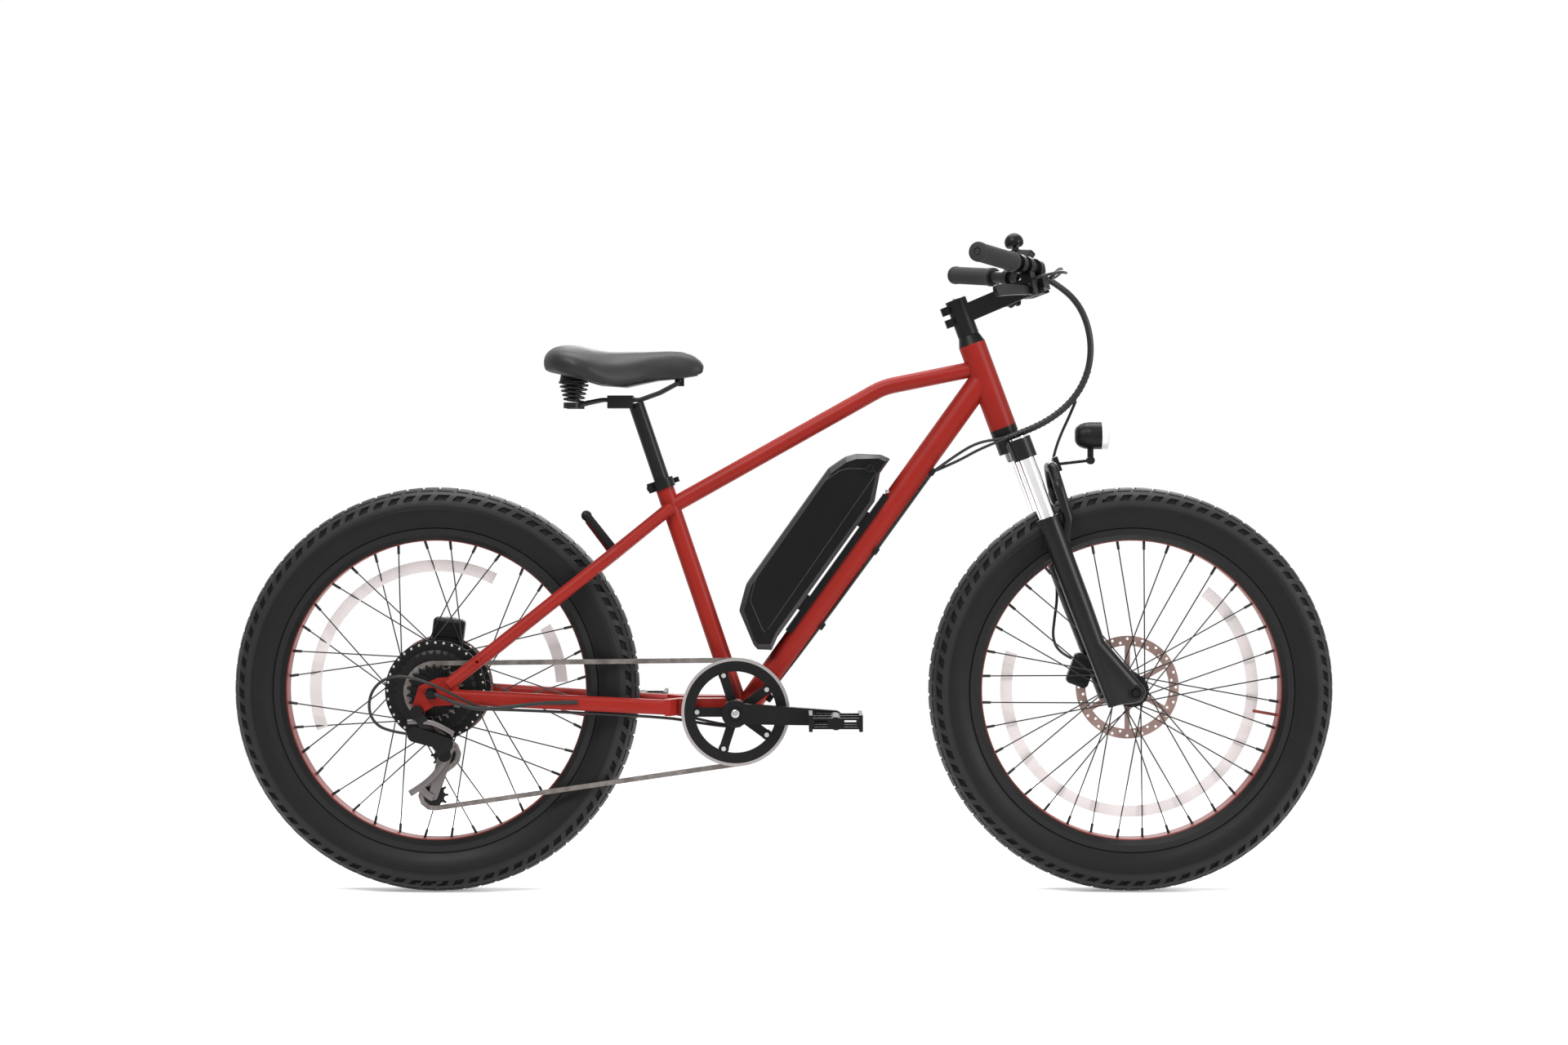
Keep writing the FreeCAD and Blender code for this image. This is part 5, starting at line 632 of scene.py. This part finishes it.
shiftRoute = metres(
    (256.9, -6, 726.3), (-58.8, -6, 285.7), (-100, -14, 286), (-150, -34, 295), (-208, -58, 307),
    (-470, -83, 321.4), (-508, -97, 322.5), (-540, -107.5, 337), (-573, -113, 356), (-607, -114.5, 371),
    (-643, -111, 381), (-676, -105.5, 378), (-700, -99, 358), (-708, -95, 330), (-702, -92, 304),
    (-680, -90, 286), (-641.4, -89.7, 280.5))
rearHoseRoute = metres(
    (256.9, 6, 726.3), (-58.8, 6, 285.7), (-100, 14, 286), (-150, 34, 295), (-208, 58, 307),
    (-420, 76, 318), (-480, 94, 324), (-524, 108, 344), (-550, 114, 380), (-562, 117, 416),
    (-575, 108, 440), (-586, 89.2, 449))
motorRoute = metres(
    (-593.6, -110.5, 350), (-575, -111.5, 343), (-552, -113, 333), (-525, -113, 325.5), (-495, -110, 325),
    (-450, -105, 330), (-402, -95.5, 334.5), (-352, -86.4, 334))
cords = {"hose": 0.0025, "motor": 0.0035, "sleeve": 0.0055}  # radii in metres


# a thin wire wound round the lower part of a route
def spiralPlaces(route, radius, wrap):
    line = splineMesh("line", route, 0.0, 0, 10)
    places = [vert.co.copy() for vert in line.vertices]
    lengths = [0.0]
    for a, b in zip(places, places[1:]):
        lengths.append(lengths[-1] + (b - a).length)
    start = lengths[-1] * wrap["from"]
    turns = int((lengths[-1] - start) / wrap["pitch"])
    spiral = []
    for k in range(turns * wrap["perTurn"] + 1):
        along = start + k * wrap["pitch"] / wrap["perTurn"]
        index = max(n for n, length in enumerate(lengths[:-1]) if length <= along)
        share = (along - lengths[index]) / (lengths[index + 1] - lengths[index])
        run = (places[index + 1] - places[index]).normalized()
        side = run.cross(across).normalized()
        turn = 2 * math.pi * k / wrap["perTurn"]
        spoke = side * math.cos(turn) + run.cross(side) * math.sin(turn)
        spiral.append(places[index].lerp(places[index + 1], share) + spoke * radius)
    return spiral


def makeSteeringCables():
    loom = {"sleeveEnd": 10, "bows": (0.011, -0.002), "still": (0.28, 0, 0.737),
            "turning": (0.50, -0.05, 0.85)}
    wrap = {"radius": 0.0012, "pitch": 0.0085, "from": 0.5, "perTurn": 10}
    sleeve, tail = sleeveRoute[:loom["sleeveEnd"]], sleeveRoute[loom["sleeveEnd"] - 2:-1]
    meshes = [splineMesh("hose", route, cords["hose"]) for route in (rightHoseRoute, leftHoseRoute)]
    meshes.append(splineMesh("sleeve", sleeve, cords["sleeve"], 5, 10))
    # past the sleeve its two hoses run on into those of the frame
    for end, bow in zip((shiftRoute[0], rearHoseRoute[0]), loom["bows"]):
        places = tail[:2] + [place + Vector((0, 0, bow)) for place in tail[2:]] + [end]
        meshes.append(splineMesh("hose", places, cords["hose"]))
    meshes.append(splineMesh("wrap", spiralPlaces(sleeve, cords["sleeve"], wrap), wrap["radius"], 1, 2))
    piece = addPiece("steeringCableLoom", joinMeshes(meshes), "cableBlack", None, 60)
    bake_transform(piece)
    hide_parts("steering_cables")


def makeFrontHose():
    hose = joinMeshes([splineMesh("hose", frontHoseRoute, cords["hose"])])
    piece = addPiece("frontBrakeHoseTube", hose, "cableBlack", None, 60)
    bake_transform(piece)
    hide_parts("front_brake_hose")


def makeFrameCables():
    runs = ((shiftRoute, "hose"), (rearHoseRoute, "hose"), (motorRoute, "motor"))
    bm = joinMeshes([splineMesh(cord, route, cords[cord]) for route, cord in runs])
    piece = addPiece("frameCableRuns", bm, "cableBlack", "frame", 60)
    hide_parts("frame_cables")


makeSteeringCables()
makeFrontHose()
makeFrameCables()
print("cables")


# headlight: a bright bowl and a bulb behind the lens, a pale rim in front
def makeHeadlightOptics():
    lamp = {"back": (0.5060, 0, 0.78966), "steps": 40, "bulb": 0.0050, "bulbAt": 0.016,
            "thin": (0.0004, -0.0006),
            "bowl": ((0.004, 0.0052), (0.006, 0.0085), (0.014, 0.0150), (0.026, 0.0190), (0.040, 0.0208),
                     (0.049, 0.0212)),
            "socket": ((0.003, 0.0), (0.003, 0.0040), (0.009, 0.0040), (0.009, 0.0)), "proud": 0.0004,
            "rim": ((-0.010, 0), (0.0002, 0), (0.0012, -0.0014), (0.0012, -0.0035), (-0.003, -0.0035))}
    forward = Vector((1, 0, 0))
    back = Vector(lamp["back"])
    low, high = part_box("headlight_housing")
    front = Vector((high.x, 0, back.z))
    wide = (high.y - low.y) / 2 + lamp["proud"]
    rim = [(along, wide + reach) for along, reach in lamp["rim"]]
    addPiece("headlightBezel", lathe(rim, front, forward, lamp["steps"]), "bulb", "headlight")
    inner = list(lamp["bowl"])
    outer = [(along + lamp["thin"][0], reach + lamp["thin"][1]) for along, reach in reversed(inner)]
    bowl = lathe(inner + outer + inner[:1], back, forward, lamp["steps"])
    addPiece("headlightBowl", bowl, "chrome", "headlight")
    bulb = lathe(ballProfile(lamp["bulb"]), back + forward * lamp["bulbAt"], forward, 20)
    addPiece("headlightBulb", bulb, "bulb", "headlight")
    socket = lathe(lamp["socket"], back, forward, 20)
    addPiece("headlightSocket", socket, "plastic", "headlight")


makeHeadlightOptics()
print("headlight")


# tail light: red glass along the back of the bar, and round ends
def makeTailLight():
    bar = {"top": (-0.3431, 0, 0.6525), "axis": (0.6, 0, -0.8), "rear": (-0.8, 0, -0.6), "radius": 0.008,
           "gap": 0.0001, "proud": 0.0013, "from": 0.010, "to": 0.074, "turn": 130,
           "softAlong": 0.001, "softReach": 0.0005, "knobs": ((0.002, 0.0094), (0.086, 0.0088))}
    top, axis, rear = Vector(bar["top"]), Vector(bar["axis"]), Vector(bar["rear"])
    low, high = bar["radius"] + bar["gap"], bar["radius"] + bar["proud"]
    start, end = bar["from"], bar["to"]
    loop = [(start, low), (start, high - bar["softReach"]), (start + bar["softAlong"], high),
            (end - bar["softAlong"], high), (end, high - bar["softReach"]), (end, low), (start, low)]
    half = math.radians(bar["turn"] / 2)
    side = rear * math.cos(half) - axis.cross(rear) * math.sin(half)
    bm = lathe(loop, top, axis, 20, 2 * half, side)
    bmesh.ops.holes_fill(bm, edges=bm.edges, sides=10)
    bmesh.ops.recalc_face_normals(bm, faces=bm.faces)
    addPiece("tailLightGlass", bm, "lampRed", "frame")
    ends = bmesh.new()
    for along, radius in bar["knobs"]:
        addMesh(ends, lathe(ballProfile(radius), top + axis * along, axis, 20))
    addPiece("tailLightKnobs", ends, "plastic", "frame")


makeTailLight()
print("tail light")


# fork feet: each leg widens forward into a rounded end round the axle
def makeForkFeet():
    foot = {"rings": ((0.100, 0.0184), (-0.007, 0.0164)), "ahead": 0.013, "side": 0.070, "points": 40,
            "end": 0.0185, "endSide": 0.072, "flat": 0.68, "capSide": 0.0820,
            "cap": ((0, 0.0135), (0.0042, 0.0125), (0.0050, 0.0110), (0.0050, 0.0078), (0.0030, 0.0066),
                    (0.0030, 0))}
    bm = bmesh.new()
    for side in (-1, 1):
        made = bmesh.new()
        for rise, radius in foot["rings"]:
            center = steerFoot + steerUp * rise + steerAhead * foot["ahead"] + across * foot["side"] * side
            for k in range(foot["points"]):
                turn = 2 * math.pi * k / foot["points"]
                made.verts.new(center + (steerAhead * math.cos(turn) + across * math.sin(turn)) * radius)
        ball = lathe(ballProfile(foot["end"]), Vector(), across, 24)
        for vert in ball.verts:
            rounded = Vector((vert.co.x, vert.co.y * foot["flat"], vert.co.z))
            made.verts.new(frontAxle + across * foot["endSide"] * side + rounded)
        bmesh.ops.convex_hull(made, input=list(made.verts))
        loose = [vert for vert in made.verts if not vert.link_faces]
        bmesh.ops.delete(made, geom=loose, context="VERTS")
        lid = [face for face in made.faces if face.normal.dot(steerUp) > 0.98]
        bmesh.ops.delete(made, geom=lid, context="FACES_ONLY")
        addMesh(bm, made)
    addPiece("forkFeet", bm, "blackPaint", "lowers", 40)
    caps = bmesh.new()
    for side in (-1, 1):
        place = frontAxle + across * foot["capSide"] * side
        addMesh(caps, lathe(foot["cap"], place, across * side, 32))
    addPiece("frontAxleCaps", caps, "blackAlloy", "lowers", 40)


makeForkFeet()
print("fork feet")


# derailleur: bare alloy band along its body, and the cage's outer blade
def makeDerailleurTrim():
    trim = {"band": ((-0.640, -0.1040, 0.302), (-0.612, -0.1052, 0.304), (-0.586, -0.1046, 0.297),
                     (-0.562, -0.1020, 0.282)), "bandRadius": 0.0042,
            "blade": ((-0.567, -0.0675, 0.257), (-0.578, -0.0680, 0.238), (-0.594, -0.0680, 0.212),
                      (-0.616, -0.0680, 0.191), (-0.641, -0.0675, 0.176)), "bladeRadius": 0.0055,
            "plate": ((-0.622, -0.0665, 0.186), (-0.612, -0.0665, 0.172), (-0.601, -0.0665, 0.168)),
            "plateRadius": 0.0060, "flat": 0.35}
    pieces = (("derailleurBand", "frame", ("band",)), ("cageBlade", "cage", ("blade", "plate")))
    for name, body, keys in pieces:
        bm = joinMeshes([splineMesh(key, trim[key], trim[key + "Radius"]) for key in keys])
        middle = sum((vert.co.y for vert in bm.verts), 0.0) / len(bm.verts)
        around = Matrix.Translation((0, -middle, 0))
        bmesh.ops.scale(bm, vec=(1, trim["flat"], 1), verts=bm.verts, space=around)
        addPiece(name, bm, "greyAlloy", body, 50)


makeDerailleurTrim()
print("derailleur trim")


# bolts: a domed head with a socket, few faces each
def boltProfile(radius, height):
    return [(0, radius), (height * 0.7, radius), (height, radius * 0.8), (height, radius * 0.45),
            (height * 0.4, radius * 0.4), (height * 0.4, 0)]


def addBolts(name, places, axis, size, body):
    bm = bmesh.new()
    for place in places:
        addMesh(bm, lathe(boltProfile(*size), place, axis, 12))
    addPiece(name, bm, "steel", body, 35)


def ringOfPlaces(center, circle, count):
    turns = [2 * math.pi * k / count for k in range(count)]
    return [center + Vector((circle * math.cos(turn), 0, circle * math.sin(turn))) for turn in turns]


def makeBolts():
    # each size is a radius and a height
    bolts = {"rotor": (0.0036, 0.0022), "rotorCircle": 0.024, "rotorCount": 6, "frontRotor": 0.0460,
             "rearRotor": 0.0630, "spoke": (0.0021, 0.0009), "spokeCircle": 0.0828, "spokeCount": 36,
             "spokeSide": 0.0360, "rail": (0.0038, 0.0030), "railPlace": (0.455, 0.0205, 0.0125),
             "cap": (0.0050, 0.0030), "capRise": 0.738}
    right, left = -across, across
    for name, axle, side, body in (("frontRotorBolts", frontAxle, "frontRotor", "front_wheel"),
                                   ("rearRotorBolts", rearAxle, "rearRotor", "rear_wheel")):
        ring = ringOfPlaces(axle + left * bolts[side], bolts["rotorCircle"], bolts["rotorCount"])
        addBolts(name, ring, left, bolts["rotor"], body)
    ring = ringOfPlaces(rearAxle + right * bolts["spokeSide"], bolts["spokeCircle"], bolts["spokeCount"])
    addBolts("motorSpokeHeads", ring, right, bolts["spoke"], "rear_wheel")
    along, out, aside = bolts["railPlace"]
    railEnd = tubeFoot + tubeRun * along + tubeOut * out + right * aside
    addBolts("railBolt", [railEnd], right, bolts["rail"], "frame")
    addBolts("stemCapBolt", [steerFoot + steerUp * bolts["capRise"]], steerUp, bolts["cap"], "steering")


# crank: a round boss on the right arm and a bolt at each end of the axle
def makeCrankEnds():
    ends = {"bolt": (0.0070, 0.0024), "boltSide": 0.0928,
            "boss": ((0.075, 0.0), (0.075, 0.0235), (0.0930, 0.0235), (0.0945, 0.0220), (0.0945, 0.0125),
                     (0.0925, 0.0115), (0.0925, 0.0))}
    boss = lathe(ends["boss"], crankCenter, -across, 40)
    addPiece("crankBoss", boss, "blackAlloy", "crank")
    bm = bmesh.new()
    for side in (-across, across):
        addMesh(bm, lathe(boltProfile(*ends["bolt"]), crankCenter + side * ends["boltSide"], side, 12))
    addPiece("crankBolts", bm, "steel", "crank", 35)


makeCrankEnds()
makeBolts()
print("bolts")


# clips that hold the two cables under the down tube
def makeCableClips():
    clip = {"along": (0.046, 0.20, 0.36, 0.528), "size": (0.014, 0.022, 0.0095), "out": -0.0232,
            "bevel": 0.0022}
    turned = Matrix((tubeRun, across, tubeOut)).transposed().to_4x4()
    bm = bmesh.new()
    for along in clip["along"]:
        center = tubeFoot + tubeRun * along + tubeOut * clip["out"]
        place = Matrix.Translation(center) @ turned @ Matrix.Diagonal((*clip["size"], 1))
        bmesh.ops.create_cube(bm, size=1, matrix=place)
    bmesh.ops.recalc_face_normals(bm, faces=bm.faces)
    bmesh.ops.bevel(bm, geom=bm.edges, offset=clip["bevel"], affect="EDGES", segments=2, profile=0.5,
                    material=-1)
    addPiece("cableClips", bm, "plastic", "frame")


makeCableClips()
print("cable clips")


# battery: the parting line of its halves, and a panel line on each side, drawn in the pale painted-highlight
# colour of the case edges
def makeBatteryLines():
    case = {"start": 0.104, "length": 0.399, "seat": 0.024, "reach": 0.102, "side": 0.0440, "seam": 0.0009,
            "line": 0.0006, "panel": 0.84, "middle": (0.5, 0.58),
            "shares": ((0.0, 0.196), (0.005, 0.294), (0.088, 0.824), (0.2, 0.99), (0.815, 1.0),
                       (0.895, 0.882), (0.932, 0.765), (0.992, 0.412), (1.0, 0.255))}

    def outline(shrink, side, closed):
        places = []
        for along, reach in case["shares"] + case["shares"][:1] * closed:
            along = case["middle"][0] + (along - case["middle"][0]) * shrink
            reach = case["middle"][1] + (reach - case["middle"][1]) * shrink
            spot = tubeFoot + tubeRun * (case["start"] + case["length"] * along)
            places.append(spot + tubeOut * (case["seat"] + case["reach"] * reach) + across * side)
        dense = []
        for a, b in zip(places, places[1:]):
            dense += [a.lerp(b, share) for share in (0.02, 0.5, 0.98)]
        return dense

    meshes = [splineMesh("seam", outline(1.0, 0.0, False), case["seam"], 2, 3)]
    for side in (-case["side"], case["side"]):
        meshes.append(splineMesh("panel", outline(case["panel"], side, True), case["line"], 2, 3))
    addPiece("batteryLines", joinMeshes(meshes), "caseEdgeHighlight", "battery", 60)


makeBatteryLines()
print("battery lines")


# studio
def floorMaterial():
    look = {"value": 0.90, "glow": 0.30, "fade": (1.25, 2.3)}
    material, wire, place, shader = newSurface("floor")
    parts = wire.node("ShaderNodeSeparateXYZ", {}, {0: place}).socket.node.outputs
    x, y = Wire(wire.tree, parts[0]), Wire(wire.tree, parts[1])
    white = (look["value"], look["value"], look["value"], 1)
    wire.feed(shader, {"Base Color": white, "Roughness": 0.9, "Specular IOR Level": 0.0,
                       "Emission Color": (1, 1, 1, 1), "Emission Strength": look["glow"]})
    far = ((x * x + y * y) ** 0.5).step(*look["fade"])
    clear = wire.node("ShaderNodeBsdfTransparent", {}, {})
    both = wire.node("ShaderNodeMixShader", {}, {0: far, 1: Wire(wire.tree, shader.outputs[0]), 2: clear})
    wire.feed(material.node_tree.nodes["Material Output"], {"Surface": both})
    return material


finish["floor"] = floorMaterial()
bm = bmesh.new()
bmesh.ops.create_circle(bm, cap_ends=True, segments=64, radius=3.0)
addPiece("studioFloor", bm, "floor")

world = bpy.data.worlds.new("studio")
scene.world = world
world.use_nodes = True
sky = Wire(world.node_tree)
backdrop = world.node_tree.nodes["Background"]
rays = [sky.node("ShaderNodeLightPath", {}, {}, ray) for ray in (
    "Is Camera Ray", "Is Glossy Ray", "Is Transmission Ray")]
seen = sky.maths("MINIMUM", rays[0] + rays[1] + rays[2], 1.0)
sky.feed(backdrop, {"Color": (1, 1, 1, 1), "Strength": 0.20 + seen * 0.80})

lights = {
    "keyLight": {"place": (-1.4, -3.2, 3.8), "aim": (0, 0, 0.5), "size": (2.6, 1.6), "watts": 200},
    "fillLight": {"place": (3.6, -2.2, 1.6), "aim": (0.2, 0, 0.5), "size": (1.4, 1.8), "watts": 110},
    "topLight": {"place": (0, 0.6, 4.2), "aim": (0, 0, 0.4), "size": (3.4, 1.6), "watts": 190},
    "backLight": {"place": (0.5, 3.6, 2.4), "aim": (0, 0, 0.5), "size": (2.6, 1.6), "watts": 80},
}
photoView = {"place": (0, -5.3, 0.76), "aim": (0, 0, 0.639), "lens": 70.3, "sensor": 36}


def addAimed(name, data, place, aim):
    holder = bpy.data.objects.new(name, data)
    holder.location = place
    holder.rotation_mode = "QUATERNION"
    holder.rotation_quaternion = (Vector(aim) - Vector(place)).to_track_quat("-Z", "Y")
    scene.collection.objects.link(holder)
    return holder


for name, light in lights.items():
    lamp = bpy.data.lights.new(name, "AREA")
    lamp.shape = "RECTANGLE"
    lamp.size, lamp.size_y = light["size"]
    lamp.energy = light["watts"]
    addAimed(name, lamp, light["place"], light["aim"])

cameraData = bpy.data.cameras.new("photoCamera")
cameraData.lens = photoView["lens"]
cameraData.sensor_width = photoView["sensor"]
scene.camera = addAimed("photoCamera", cameraData, photoView["place"], photoView["aim"])
scene.view_settings.view_transform = "Standard"
print("studio")
